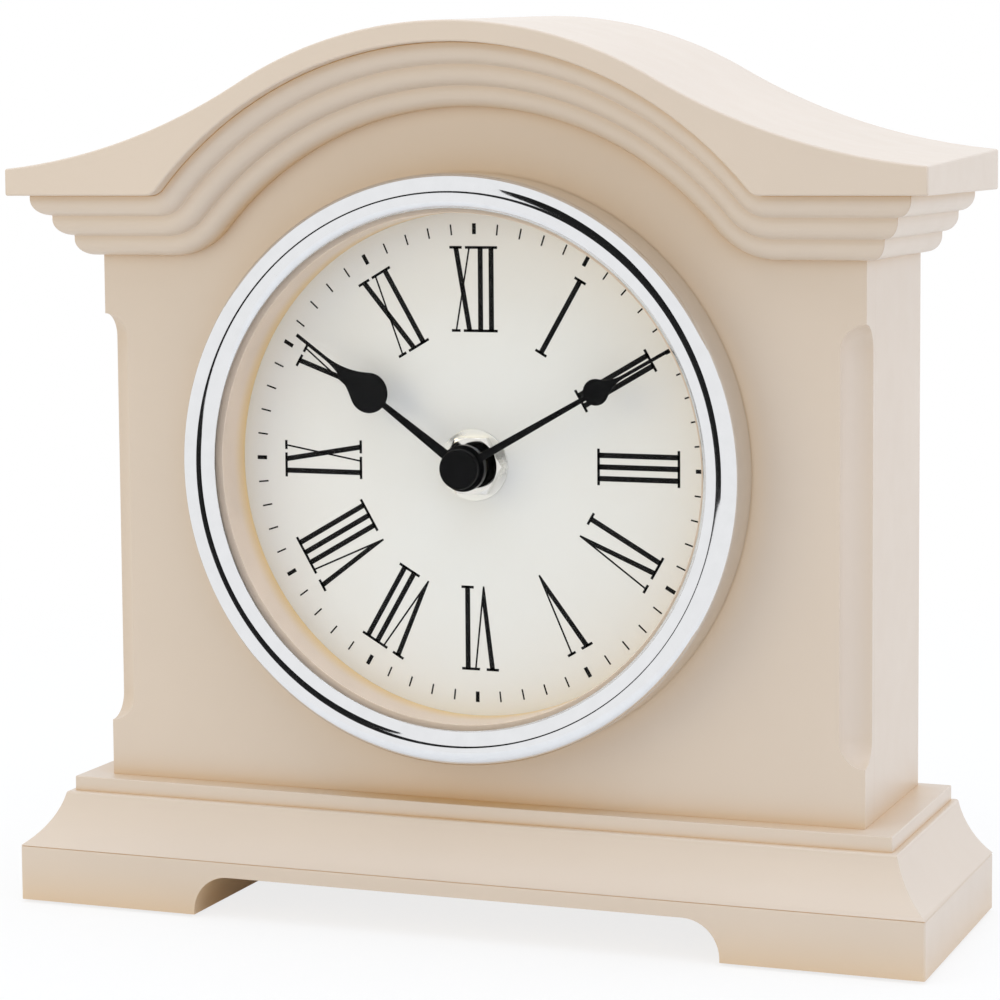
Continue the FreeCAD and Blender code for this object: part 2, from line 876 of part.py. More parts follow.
def hour_hand():
    pieces = hand_blade(
        hour_hand_length, hour_point_length, hour_bulb_radius, hour_bulb_place,
        hour_blade_width, hour_neck_width, hour_hand_front, hour_hand_back,
    )
    boss = disc(hour_boss_radius, hour_hand_front, hour_hand_front + hour_boss_thickness)
    collet = disc(hour_collet_radius, hour_hand_front, bush_front - boss_gap)
    hand = fused(boss, collet, *pieces)
    bore = disc(hour_pipe_radius, hour_hand_front - overrun, bush_front + overrun)
    return set_to(hand.cut(bore), hour_hand_turn)


def minute_hand():
    pieces = hand_blade(
        minute_hand_length, minute_point_length, minute_bulb_radius, minute_bulb_place,
        minute_blade_width, minute_neck_width, minute_hand_front, minute_hand_back,
    )
    hand = fused(disc(minute_hub_radius, minute_hand_front, minute_hand_back), *pieces)
    bore = disc(arbor_tip_radius, minute_hand_front - overrun, minute_hand_back + overrun)
    return set_to(hand.cut(bore), minute_hand_turn)


def arbor_tip():
    return minute_hand_front - hand_cap_thickness * hand_cap_bore_share


def hand_cap():
    body = disc(hand_cap_radius, hand_cap_front, minute_hand_front)
    body = rounded(body, edge_round, lambda c: c.y < hand_cap_front + edge_round)
    return body.cut(disc(arbor_tip_radius, arbor_tip(), minute_hand_front + overrun))


def gear(teeth, module, y0, y1, x=0, z=dial_z, tooth_at=0):
    """A spur gear with straight-sided teeth; one tooth points in the direction tooth_at."""
    pitch_radius = teeth * module / 2
    tip = pitch_radius + module * tooth_tip_share
    root = pitch_radius - module * tooth_root_share
    pitch = math.tau / teeth
    tip_half = pitch * tooth_tip_width_share / 2
    root_half = pitch * tooth_root_width_share / 2
    points = []
    for i in range(teeth):
        middle = tooth_at + pitch * i
        for radius, angle in (
            (root, middle - root_half),
            (tip, middle - tip_half),
            (tip, middle + tip_half),
            (root, middle + root_half),
        ):
            points.append(Vector(x + radius * math.cos(angle), y0, z + radius * math.sin(angle)))
    points.append(points[0])
    return Part.Face(Part.makePolygon(points)).extrude(BACK * (y1 - y0))


def minute_arbor():
    """The centre wheel, its pinion and the arbor that carries the minute hand."""
    wheel = gear(centre_wheel_teeth, train_module, centre_wheel_front, centre_wheel_back)
    pinion = gear(cannon_teeth, motion_module, cannon_front, centre_wheel_front)
    return fused(
        wheel,
        pinion,
        disc(minute_arbor_radius, minute_hand_back, cannon_front),
        disc(arbor_tip_radius, arbor_tip(), minute_hand_back),
        disc(arbor_pivot_radius, centre_wheel_back, bridge_back),
    )


def hour_wheel():
    """The hour wheel with the pipe that carries the hour hand."""
    gap_at_motion_pinion = math.pi / hour_wheel_teeth
    wheel = gear(
        hour_wheel_teeth, motion_module, hour_wheel_front, hour_wheel_back,
        tooth_at=gap_at_motion_pinion,
    )
    pipe = disc(hour_pipe_radius, hour_hand_front, hour_wheel_front)
    bore = disc(hour_pipe_bore, hour_hand_front - overrun, hour_wheel_back + overrun)
    return fused(wheel, pipe).cut(bore)


def motion_wheel():
    """The minute wheel and its pinion, which drives the hour wheel."""
    gap_at_cannon = math.pi + math.pi / motion_wheel_teeth
    wheel = gear(
        motion_wheel_teeth, motion_module, motion_wheel_front, motion_wheel_back,
        motion_x, tooth_at=gap_at_cannon,
    )
    pinion = gear(
        motion_pinion_teeth, motion_module, hour_wheel_front, motion_wheel_front,
        motion_x, tooth_at=math.pi,
    )
    bore = post_radius + running_clearance
    return fused(wheel, pinion).cut(
        disc(bore, hour_wheel_front - overrun, motion_wheel_back + overrun, motion_x)
    )


def intermediate_wheel():
    """The wheel between the rotor and the centre wheel."""
    gap_at_centre_wheel = math.pi / intermediate_pinion_teeth
    wheel = gear(
        intermediate_wheel_teeth, train_module,
        intermediate_wheel_front, intermediate_wheel_back,
        intermediate_x, tooth_at=math.pi - rotor_turn_from_train,
    )
    pinion = gear(
        intermediate_pinion_teeth, train_module, centre_wheel_front, intermediate_wheel_front,
        intermediate_x, tooth_at=gap_at_centre_wheel,
    )
    bore = post_radius + running_clearance
    return fused(wheel, pinion).cut(
        disc(bore, centre_wheel_front - overrun, intermediate_wheel_back + overrun, intermediate_x)
    )


def rotor():
    """The round magnet and the pinion of the step motor."""
    gap_at_intermediate = -rotor_turn_from_train + math.pi / rotor_pinion_teeth
    magnet = disc(rotor_radius, rotor_front, rotor_back, rotor_x, rotor_z)
    pinion = gear(
        rotor_pinion_teeth, train_module, rotor_back, intermediate_wheel_back,
        rotor_x, rotor_z, gap_at_intermediate,
    )
    bore = rotor_post_radius + running_clearance
    return fused(magnet, pinion).cut(
        disc(bore, rotor_front - overrun, intermediate_wheel_back + overrun, rotor_x, rotor_z)
    )


def wheel_posts():
    return [
        disc(post_radius, housing_floor, motion_wheel_back, motion_x),
        disc(post_radius, housing_floor, bridge_back, intermediate_x),
        disc(rotor_post_radius, housing_floor, bridge_back, rotor_x, rotor_z),
    ]


def front_housing():
    """The movement's front shell with its pillars, aerial saddles and battery bay."""
    inner = housing_inner_half_width
    body = block(
        -movement_half_width, movement_half_width, housing_front, housing_back,
        dial_z - movement_drop, dial_z + movement_top,
    )
    body = rounded(body, edge_round, lambda c: c.y < housing_back - edge_round)
    open_back = housing_back + overrun
    train_room = block(-inner, inner, housing_floor, open_back, train_room_bottom, train_room_top)
    bay = block(-inner, inner, housing_floor, open_back, battery_bay_bottom, divider_bottom)
    notch = post(
        finger_notch_radius, battery_bay_bottom - housing_wall - overrun, battery_z, 0, housing_back
    )
    bush_hole = disc(bush_radius, housing_front - overrun, housing_floor + overrun)
    shell = body.cut([train_room, bay, notch, bush_hole])
    pillars = [disc(pillar_radius, housing_floor, bridge_front, x, z) for x, z in pillar_places]
    pillars += [
        disc(pillar_radius, housing_floor, board_front, x, z) for x, z in board_pillar_places
    ]
    for side in (-1, 1):
        middle = side * saddle_x
        pillars.append(block(
            middle - saddle_thickness / 2, middle + saddle_thickness / 2,
            housing_floor, aerial_y, aerial_z - aerial_winding_radius, train_room_top,
        ))
    cuts = [bar(aerial_radius, -aerial_length / 2, aerial_length / 2, aerial_y, aerial_z)]
    screw_floor = bridge_back - bridge_screw_length
    cuts += [disc(bridge_screw_radius, screw_floor, bridge_back, x, z) for x, z in pillar_places]
    return fused(shell, *pillars).cut(cuts)


def back_cover():
    bottom = divider_bottom
    top = dial_z + movement_top
    plate = block(
        -movement_half_width, movement_half_width, housing_back, cover_back, bottom, top
    )
    plate = rounded(plate, edge_round, lambda c: c.y > cover_back - edge_round)
    reach = housing_inner_half_width - cover_rim_fit
    low = train_room_bottom + cover_rim_fit
    high = train_room_top - cover_rim_fit
    wall = housing_wall
    rim = block(-reach, reach, housing_back - cover_rim_depth, housing_back, low, high)
    rim = rim.cut(block(
        wall - reach, reach - wall, housing_back - cover_rim_depth - overrun,
        housing_back + overrun, low + wall, high - wall,
    ))
    hole = button_radius + running_clearance
    holes = [disc(hole, housing_back - overrun, cover_back + overrun, x, button_z)
             for x in button_places]
    return fused(plate, rim).cut(holes)


def train_bridge():
    left = rotor_x - bridge_margin
    right = pillar_reach_right + bridge_margin
    reach = pillar_reach_up + bridge_margin
    plate = block(left, right, bridge_front, bridge_back, dial_z - reach, dial_z + reach)
    through = (bridge_front - overrun, bridge_back + overrun)
    holes = [
        disc(arbor_pivot_radius + running_clearance, *through),
        disc(post_radius, *through, intermediate_x),
        disc(rotor_post_radius, *through, rotor_x, rotor_z),
    ]
    holes += [disc(bridge_screw_radius, *through, x, z) for x, z in pillar_places]
    return plate.cut(holes)


def bridge_screws():
    return [
        headed_screw(
            bridge_screw_radius, bridge_screw_length,
            bridge_screw_head_radius, bridge_screw_head_height, x, bridge_back, z, 1,
        )
        for x, z in pillar_places
    ]


def stator():
    """The iron plate round the rotor, with the bar that the coil sits on."""
    plate = block(
        coil_x - core_width / 2, stator_right, stator_front, stator_back, stator_bottom, stator_top
    )
    window = block(
        coil_x + core_width / 2, stator_left,
        stator_front - overrun, stator_back + overrun, core_bottom, core_top,
    )
    hole = disc(stator_hole, stator_front - overrun, stator_back + overrun, rotor_x, rotor_z)
    return plate.cut([window, hole])


def coil_bobbin():
    tube = post(bobbin_tube_radius, core_bottom, core_top, coil_x, coil_y)
    low = post(bobbin_radius, core_bottom, core_bottom + bobbin_flange, coil_x, coil_y)
    high = post(bobbin_radius, core_top - bobbin_flange, core_top, coil_x, coil_y)
    half = core_width / 2
    bar_hole = block(
        coil_x - half, coil_x + half, stator_front, stator_back,
        core_bottom - overrun, core_top + overrun,
    )
    return fused(tube, low, high).cut(bar_hole)


def coil_winding():
    low = core_bottom + bobbin_flange
    high = core_top - bobbin_flange
    outer = post(bobbin_tube_radius + winding_depth, low, high, coil_x, coil_y)
    return outer.cut(post(bobbin_tube_radius, low - overrun, high + overrun, coil_x, coil_y))


def ferrite_rod():
    return bar(aerial_radius, -aerial_length / 2, aerial_length / 2, aerial_y, aerial_z)


def aerial_winding():
    half = aerial_winding_length / 2
    outer = bar(aerial_winding_radius, -half, half, aerial_y, aerial_z)
    return outer.cut(bar(aerial_radius, -half - overrun, half + overrun, aerial_y, aerial_z))


def circuit_board():
    return block(
        -board_half_width, board_half_width, board_front, board_back, board_bottom, board_top
    )


def crystal():
    z = dial_z - button_rise
    x = board_half_width / 2
    return bar(crystal_radius, x, x + crystal_length, board_front - crystal_radius, z)


def control_chip():
    return disc(chip_radius, board_front - chip_height, board_front, 0, dial_z - button_rise)


def switch_domes():
    return [
        disc(dome_radius, board_back, board_back + dome_height, x, button_z) for x in button_places
    ]


def push_button(x):
    stem = disc(button_radius, housing_back, cover_back + button_proud, x, button_z)
    stem = rounded(stem, edge_round, lambda c: c.y > cover_back + button_proud - edge_round)
    flange = disc(
        button_flange_radius, housing_back - button_flange_thickness, housing_back, x, button_z
    )
    return fused(stem, flange)


def battery():
    half = battery_length / 2
    body = bar(battery_radius, -half, half - battery_nub_length, battery_y, battery_z)
    body = rounded(body, edge_round, lambda c: abs(c.x) > half - battery_nub_length - edge_round)
    nub = bar(battery_nub_radius, half - battery_nub_length, half, battery_y, battery_z)
    return fused(body, nub)


def contact(side):
    """A folded strip: its foot lies on the bay's end wall and its leaf meets the battery."""
    wall = housing_inner_half_width
    leaf = battery_length / 2 + contact_gap
    half = contact_width / 2
    low = battery_y - half
    high = battery_y + half
    bottom = battery_z - half
    top = battery_z + half
    foot = block(wall - contact_sheet, wall, low, high, bottom, top)
    blade = block(leaf, leaf + contact_sheet, low, high, bottom, top)
    fold = block(leaf, wall, low, high, top - contact_sheet, top)
    strip = fused(foot, fold, blade)
    return strip if side > 0 else strip.mirror(Vector(0, 0, 0), RIGHT)


def back_screw_places():
    x = case_inner_half_width - batten_width / 2
    low = case_bottom + back_screw_margin
    high = underside - back_screw_margin
    step = (high - low) / (back_screw_count - 1)
    return [(side * x, low + step * i) for side in (-1, 1) for i in range(back_screw_count)]


def back_screw_holes():
    tip = case_back - back_screw_length
    return [
        disc(back_screw_radius, tip, case_back + overrun, x, z) for x, z in back_screw_places()
    ]


def batten(side):
    inner = side * (case_inner_half_width - batten_width)
    outer = side * case_inner_half_width
    stick = block(
        min(inner, outer), max(inner, outer), back_front - batten_width, back_front,
        case_bottom, underside,
    )
    return stick.cut(back_screw_holes())


def leaf_screw_places(side):
    """Screw places in the hinge leaves on the case side (-1) or the door side (1)."""
    x = hinge_x + side * hinge_leaf_width * (1 - hinge_screw_share)
    shares = (hinge_screw_share, 1 - hinge_screw_share)
    return [(x, z + hinge_length * share) for z in hinge_places for share in shares]


def leaf_screw_holes(side):
    top = case_back + hinge_leaf_thickness
    tip = top - hinge_screw_length
    return [
        disc(hinge_screw_radius, tip, top + overrun, x, z) for x, z in leaf_screw_places(side)
    ]


def back_panel():
    reach = case_inner_half_width - back_fit
    panel = arched_board(reach, case_bottom + back_fit, back_fit, back_front, case_back)
    opening = block(
        -door_half_width, door_half_width, back_front - overrun, case_back + overrun,
        door_bottom, door_top,
    )
    return panel.cut([opening] + back_screw_holes() + leaf_screw_holes(-1))


def back_screws():
    return [
        headed_screw(
            back_screw_radius, back_screw_length,
            back_screw_head_radius, back_screw_head_height, x, case_back, z, 1,
        )
        for x, z in back_screw_places()
    ]


def back_door():
    door = block(
        door_left, door_right, back_front, case_back,
        door_bottom + door_gap, door_top - door_gap,
    )
    screw = disc(knob_screw_radius, back_front - overrun, case_back + overrun, knob_x, door_middle)
    strike = disc(
        strike_radius, back_front - overrun, back_front + strike_thickness, strike_x, door_middle
    )
    return door.cut([screw, strike] + leaf_screw_holes(1))


def hinge_leaves(side):
    """The leaves on one side: the case leaves (-1) have two knuckles, the door leaves (1) one."""
    leaves = []
    step = hinge_length / 3
    gap = hinge_knuckle_gap / 2
    for z in hinge_places:
        spans = {
            -1: ((z, z + step - gap), (z + step * 2 + gap, z + hinge_length)),
            1: ((z + step + gap, z + step * 2 - gap),),
        }[side]
        edge = hinge_x + side * hinge_leaf_width
        clear = hinge_x + side * (hinge_knuckle_radius + hinge_knuckle_gap)
        plate = block(
            min(edge, clear), max(edge, clear), case_back, case_back + hinge_leaf_thickness,
            z, z + hinge_length,
        )
        pieces = []
        for low, high in spans:
            pieces.append(post(hinge_knuckle_radius, low, high, hinge_x, hinge_y))
            pieces.append(block(
                min(hinge_x, clear), max(hinge_x, clear),
                hinge_y - hinge_knuckle_radius, case_back + hinge_leaf_thickness, low, high,
            ))
        bore = hinge_pin_radius + running_clearance
        pin_hole = post(bore, z - overrun, z + hinge_length + overrun, hinge_x, hinge_y)
        leaves.append(fused(plate, *pieces).cut([pin_hole] + leaf_screw_holes(side)))
    return leaves


def hinge_pins():
    pins = []
    for z in hinge_places:
        top = z + hinge_length
        pins.append(fused(
            post(hinge_pin_radius, z, top, hinge_x, hinge_y),
            post(hinge_pin_head_radius, z - hinge_pin_head_height, z, hinge_x, hinge_y),
            post(hinge_pin_head_radius, top, top + hinge_pin_head_height, hinge_x, hinge_y),
        ))
    return pins


def hinge_screws(side):
    return [
        headed_screw(
            hinge_screw_radius, hinge_screw_length,
            hinge_screw_head_radius, hinge_screw_head_height,
            x, case_back + hinge_leaf_thickness, z, 1,
        )
        for x, z in leaf_screw_places(side)
    ]


def door_knob():
    neck_top = case_back + door_knob_height * door_knob_neck_height_share
    top = case_back + door_knob_height
    neck = disc(door_knob_radius * door_knob_neck_share, case_back, neck_top, knob_x, door_middle)
    head = disc(door_knob_radius, neck_top, top, knob_x, door_middle)
    head = rounded(head, edge_round, lambda c: abs(c.y - case_back) > 0)
    bore = disc(knob_screw_radius, case_back - overrun, neck_top, knob_x, door_middle)
    return fused(neck, head).cut(bore)


def knob_screw():
    length = back_thickness + door_knob_height * door_knob_neck_height_share
    return headed_screw(
        knob_screw_radius, length, knob_screw_head_radius, knob_screw_head_height,
        knob_x, back_front, door_middle, -1,
    )


def magnet_place():
    return back_front - stop_gap


def door_stop():
    left = door_half_width - stop_lap
    right = door_half_width + stop_hold
    half = stop_length / 2
    body = block(
        left, right, back_front - stop_depth, back_front, door_middle - half, door_middle + half
    )
    relief = block(
        left - overrun, door_half_width, magnet_place(), back_front + overrun,
        door_middle - half - overrun, door_middle + half + overrun,
    )
    seat = disc(
        magnet_radius, magnet_place() - magnet_length, back_front + overrun, strike_x, door_middle
    )
    return body.cut([relief, seat])


def magnet():
    return disc(magnet_radius, magnet_place() - magnet_length, magnet_place(), strike_x, door_middle)


def strike_plate():
    return disc(strike_radius, back_front, back_front + strike_thickness, strike_x, door_middle)


def export(name, made):
    """Writes one node; a list of solids becomes one node of separate solids."""
    shapes = made if isinstance(made, list) else [made]
    solids = [solid for shape in shapes for solid in shape.Solids]
    shape = solids[0] if len(solids) == 1 else Part.makeCompound(solids)
    shape.exportStep("parts/" + name + ".step")


export("base_block", base_block())
export("felt_pads", felt_pads())
export("cove_board", cove_board())
export("plinth_board", plinth_board())
export("front_panel", bored_front_panel())
export("side_board_left", side_board(-1))
export("side_board_right", side_board(1))
export("cap_board", cap_board())
export("cornice_front", cornice_front())
export("cornice_left", cornice_side(-1))
export("cornice_right", cornice_side(1))
export("bezel", bezel())
export("glass", glass())
export("dial_surround", dial_surround())
export("dial_plate", dial_plate())
export("dial_screws", dial_screws())
export("dial_washer", dial_washer())
export("hex_nut", hex_nut())
export("threaded_bush", threaded_bush())
export("hour_hand", hour_hand())
export("minute_hand", minute_hand())
export("hand_cap", hand_cap())
export("minute_arbor", minute_arbor())
export("hour_wheel", hour_wheel())
export("motion_wheel", motion_wheel())
export("intermediate_wheel", intermediate_wheel())
export("rotor", rotor())
export("wheel_posts", wheel_posts())
export("front_housing", front_housing())
export("back_cover", back_cover())
export("train_bridge", train_bridge())
export("bridge_screws", bridge_screws())
export("stator", stator())
export("coil_bobbin", coil_bobbin())
export("coil_winding", coil_winding())
export("ferrite_rod", ferrite_rod())
export("aerial_winding", aerial_winding())
export("circuit_board", circuit_board())
export("quartz_crystal", crystal())
export("control_chip", control_chip())
export("switch_domes", switch_domes())
for button_name, button_x in zip(button_names, button_places):
    export(button_name, push_button(button_x))
export("battery", battery())
export("battery_contacts", [contact(-1), contact(1)])
export("back_battens", [batten(-1), batten(1)])
export("back_panel", back_panel())
export("back_screws", back_screws())
export("back_door", back_door())
export("hinge_leaves_case", hinge_leaves(-1))
export("hinge_leaves_door", hinge_leaves(1))
export("hinge_pins", hinge_pins())
export("hinge_screws", hinge_screws(-1))
export("door_hinge_screws", hinge_screws(1))
export("door_knob", door_knob())
export("knob_screw", knob_screw())
export("door_stop", door_stop())
export("door_magnet", magnet())
export("strike_plate", strike_plate())
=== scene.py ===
import math

import bmesh
import bpy
from bpy.props import FloatProperty, FloatVectorProperty, IntProperty, PointerProperty
from bpy.types import Operator, Panel, PropertyGroup
from mathutils import Matrix, Vector


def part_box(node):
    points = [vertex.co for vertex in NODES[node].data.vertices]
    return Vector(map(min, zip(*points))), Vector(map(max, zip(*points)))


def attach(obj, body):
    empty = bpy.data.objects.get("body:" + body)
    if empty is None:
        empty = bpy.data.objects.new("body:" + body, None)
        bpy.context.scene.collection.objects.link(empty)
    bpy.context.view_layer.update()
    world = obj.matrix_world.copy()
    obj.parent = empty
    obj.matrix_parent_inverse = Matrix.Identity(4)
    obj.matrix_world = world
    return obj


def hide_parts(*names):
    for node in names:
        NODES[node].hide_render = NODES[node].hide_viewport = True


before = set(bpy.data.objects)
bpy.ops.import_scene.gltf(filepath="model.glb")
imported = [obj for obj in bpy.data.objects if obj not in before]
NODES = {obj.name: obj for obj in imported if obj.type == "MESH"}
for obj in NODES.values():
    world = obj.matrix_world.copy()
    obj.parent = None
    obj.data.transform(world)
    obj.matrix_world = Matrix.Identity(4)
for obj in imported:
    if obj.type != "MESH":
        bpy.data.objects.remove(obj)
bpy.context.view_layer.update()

bl_info = {
    "name": "Painted mantel clock",
    "version": (1, 0, 0),
    "blender": (4, 5, 0),
    "location": "View3D > Sidebar > Clock",
    "description": "Finishes a painted mantel clock: case, dial, bezel, hands, movement and stage",
    "category": "Object",
}

MM = 0.001
# Points nearer than this are one point
SNAP = 0.001 * MM
SOFT_DEGREES = 40
BOARD_DEGREES = 50
FLAT_DEGREES = 0.3
FINE_TEXTURE = 0.003 * MM
WHITE = (1, 1, 1, 1)
# Most of a noise lies between these two values
NOISE_LOW, NOISE_HIGH = 0.3, 0.7

DIAL_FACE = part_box("dial_plate")[0].y
DIAL_Z = (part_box("dial_plate")[0].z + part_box("dial_plate")[1].z) / 2
CASE_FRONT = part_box("front_panel")[0].y


def srgb(*levels):
    """An eight-bit display colour as a linear one."""
    parts = [level / 255 for level in levels]
    return tuple(p / 12.92 if p <= 0.04045 else ((p + 0.055) / 1.055) ** 2.4 for p in parts)


def setting(convert=float, kind=FloatProperty, **limits):
    """A function that makes settings of one kind, each with a name and a description."""
    def made(name, description, value):
        return kind(name=name, description=description, default=convert(value), **limits)

    return made


colour = setting(tuple, FloatVectorProperty, subtype="COLOR", size=3, min=0, max=1)
# Lengths are given in millimetres and turns in degrees
length = setting(lambda value: value * MM, unit="LENGTH", precision=5)
turn = setting(math.radians, subtype="ANGLE")
share = setting(subtype="FACTOR", min=0, max=1)
power = setting(unit="POWER")


class ClockPaint(PropertyGroup):
    """Paint and bare wood of the case, with the painted shade of its recesses."""

    case: colour("Case paint", "Satin paint on the case boards", srgb(211, 195, 178))
    # Painted shade: deep in recesses the paint turns to this warm, darker tone, up to the reach
    # from their walls
    shade: colour("Shade", "Warm tone deep in recesses", srgb(222, 178, 112))
    shade_reach: length("Shade reach", "How far recesses warm the paint", 20)
    back: colour("Back paint", "Matt paint on the back panel and door", srgb(205, 190, 168))
    wood: colour("Bare wood", "Planed softwood of battens and stop", srgb(206, 172, 124))
    felt: colour("Felt", "Felt of the pads", srgb(88, 80, 70))
    roughness: share("Paint roughness", "How dull the case paint is", 0.32)
    grain: length("Paint grain", "Size of the spray grain", 0.55)
    edge: length("Edge rounding", "Rounding of the cap's painted edges", 0.45)
    seam: length("Seam rounding", "Rounding where painted boards meet", 0.06)


class ClockDial(PropertyGroup):
    """Dial card and its print."""

    card: colour("Card", "Matt white of the dial", srgb(228, 228, 224))
    ink: colour("Ink", "Black print on the dial", srgb(12, 12, 13))
    numeral_foot: length("Numeral foot", "Radius where the numerals begin", 34.7)
    numeral_head: length("Numeral head", "Radius where the numerals end", 57.0)
    stem: length("Stem", "Width of the thick strokes", 1.38)
    hairline: length("Hairline", "Width of the thin strokes", 0.46)
    serif: length("Serif", "Thickness of the serif bars", 0.7)
    stem_pitch: length("Stem pitch", "Distance between stems", 3.0)
    track_foot: length("Track foot", "Radius where the minute marks begin", 59.9)
    track_head: length("Track head", "Radius where the minute marks end", 62.7)
    minute_mark: length("Minute mark", "Width of a minute mark", 0.42)
    hour_mark: length("Hour mark", "Width of a five-minute mark", 1.05)
    track_right: length("Track right", "Shift of the minute marks to the right", 0.45)
    track_up: length("Track up", "Shift of the minute marks upwards", 0.2)
    print_height: length("Print height", "How far the ink stands on the card", 0.03)


class ClockBezel(PropertyGroup):
    """Spun bezel, glass and surround."""

    chrome: colour("Chrome", "Chrome plating", srgb(231, 232, 234))
    surround: colour("Surround", "Paint of the ring at the glass", srgb(224, 204, 184))
    # Painted warm shade: the ring turns to this colour towards the dial, where it meets it
    surround_foot: colour("Surround foot", "Paint of the ring at the dial", srgb(228, 196, 142))
    foot_gap: length("Foot gap", "Height of the foot's groove", 0.4)
    foot_depth: length("Foot depth", "Depth of the foot's groove", 0.5)
    wall_height: length("Wall height", "Straight height of the bezel's wall", 11.9)
    sheet: length("Sheet", "Thickness of the bezel's sheet", 1.0)
    corner_radius: length("Corner radius", "Radius between the wall and the dome", 2.5)
    dome_radius: length("Dome radius", "Radius of the bezel's dome", 9.0)
    roll_radius: length("Roll radius", "Radius of the inner roll", 5.2)
    dome_start: turn("Dome start", "Where the corner ends", 75)
    dome_end: turn("Dome end", "Where the dome ends", 100)
    roll_end: turn("Roll end", "Where the roll meets the glass", 141)
    steps: IntProperty(name="Steps", description="Sides of a turned piece", default=256, min=24)
    glass_edge: length("Glass edge", "Ground edge of the glass", 0.25)


class ClockHands(PropertyGroup):
    """Hands, cap, nut and bush."""

    black: colour("Black", "Gloss black of the hands", srgb(9, 9, 10))
    nickel: colour("Nickel", "Plating of the nut", srgb(226, 224, 219))
    brass: colour("Brass", "Brass of bush and hinges", srgb(222, 190, 122))
    cap_edge: length("Cap edge", "Rounding of the hand cap", 0.6)
    bush_radius: length("Bush radius", "Outer radius of the bush's thread", 3.98)
    thread_pitch: length("Thread pitch", "Pitch of the bush's thread", 0.75)
    thread_depth: length("Thread depth", "Depth of the bush's thread", 0.4)


class ClockMovement(PropertyGroup):
    """Movement, battery and metal fittings."""

    housing: colour("Housing", "Moulded plastic of the movement", srgb(40, 40, 42))
    gear: colour("Gear", "Moulded plastic of the wheels", srgb(236, 235, 228))
    button: colour("Button", "Moulded plastic of the buttons", srgb(150, 151, 153))
    board: colour("Board", "Solder mask", srgb(34, 92, 58))
    copper: colour("Copper", "Enamelled wire", srgb(196, 118, 70))
    ferrite: colour("Ferrite", "Sintered aerial rod", srgb(66, 66, 68))
    steel: colour("Steel", "Bright steel of screws and posts", srgb(196, 197, 199))
    battery: colour("Battery", "Wrap of the battery", srgb(30, 34, 40))
    band: colour("Battery band", "Band round the battery's plus end", srgb(198, 146, 62))
    wire: length("Wire", "Diameter of the wire", 0.22)
    cross_width: length("Cross width", "Width of a screw's cross recess", 0.55)


class ClockStage(PropertyGroup):
    """Camera and lamps."""

    azimuth: turn("Azimuth", "Turn of the camera round the clock", 21.14)
    elevation: turn("Elevation", "Height of the camera above the horizon", 5.26)
    roll: turn("Roll", "Turn of the camera about its own axis", -0.445)
    lens: length("Lens", "Focal length of the camera", 112.28)
    top_power: power("Top lamp", "Strength of the lamp above", 10.5)
    left_power: power("Left lamp", "Strength of the lamp on the left", 3.6)
    right_power: power("Right lamp", "Strength of the lamp on the right", 3.6)
    room: share("Room light", "Strength of the light from all sides", 0.77)


SETTINGS = {
    "clock_paint": ClockPaint,
    "clock_dial": ClockDial,
    "clock_bezel": ClockBezel,
    "clock_hands": ClockHands,
    "clock_movement": ClockMovement,
    "clock_stage": ClockStage,
}


def assigned(item, **values):
    """A Blender item with several of its values set."""
    for key, value in values.items():
        setattr(item, key, value)
    return item


class Nodes:
    """A node tree under construction."""

    def __init__(self, tree):
        self.tree = tree

    def node(self, kind, inputs=None, **values):
        """A new node with its values and the constants of its inputs."""
        made = assigned(self.tree.nodes.new(kind), **values)
        for key, value in (inputs or {}).items():
            made.inputs[key].default_value = value
        return made

    def join(self, source, target):
        self.tree.links.new(source, target)

    def combined(self, operation, first, second):
        """The outcome of a sum on two sources."""
        made = self.node("ShaderNodeMath", operation=operation)
        self.join(first, made.inputs[0])
        self.join(second, made.inputs[1])
        return made.outputs["Value"]

    def rays(self, *kinds):
        """One for rays of the given kinds, nought for all others."""
        path = self.node("ShaderNodeLightPath")
        found = path.outputs[kinds[0]]
        for kind in kinds[1:]:
            found = self.combined("MAXIMUM", found, path.outputs[kind])
        return found

    def swapped(self, source, first, second, target):
        """Feeds the first shader to a target, but the second where the source is one."""
        mix = self.node("ShaderNodeMixShader")
        self.join(source, mix.inputs["Fac"])
        self.join(first, mix.inputs[1])
        self.join(second, mix.inputs[2])
        self.join(mix.outputs["Shader"], target)


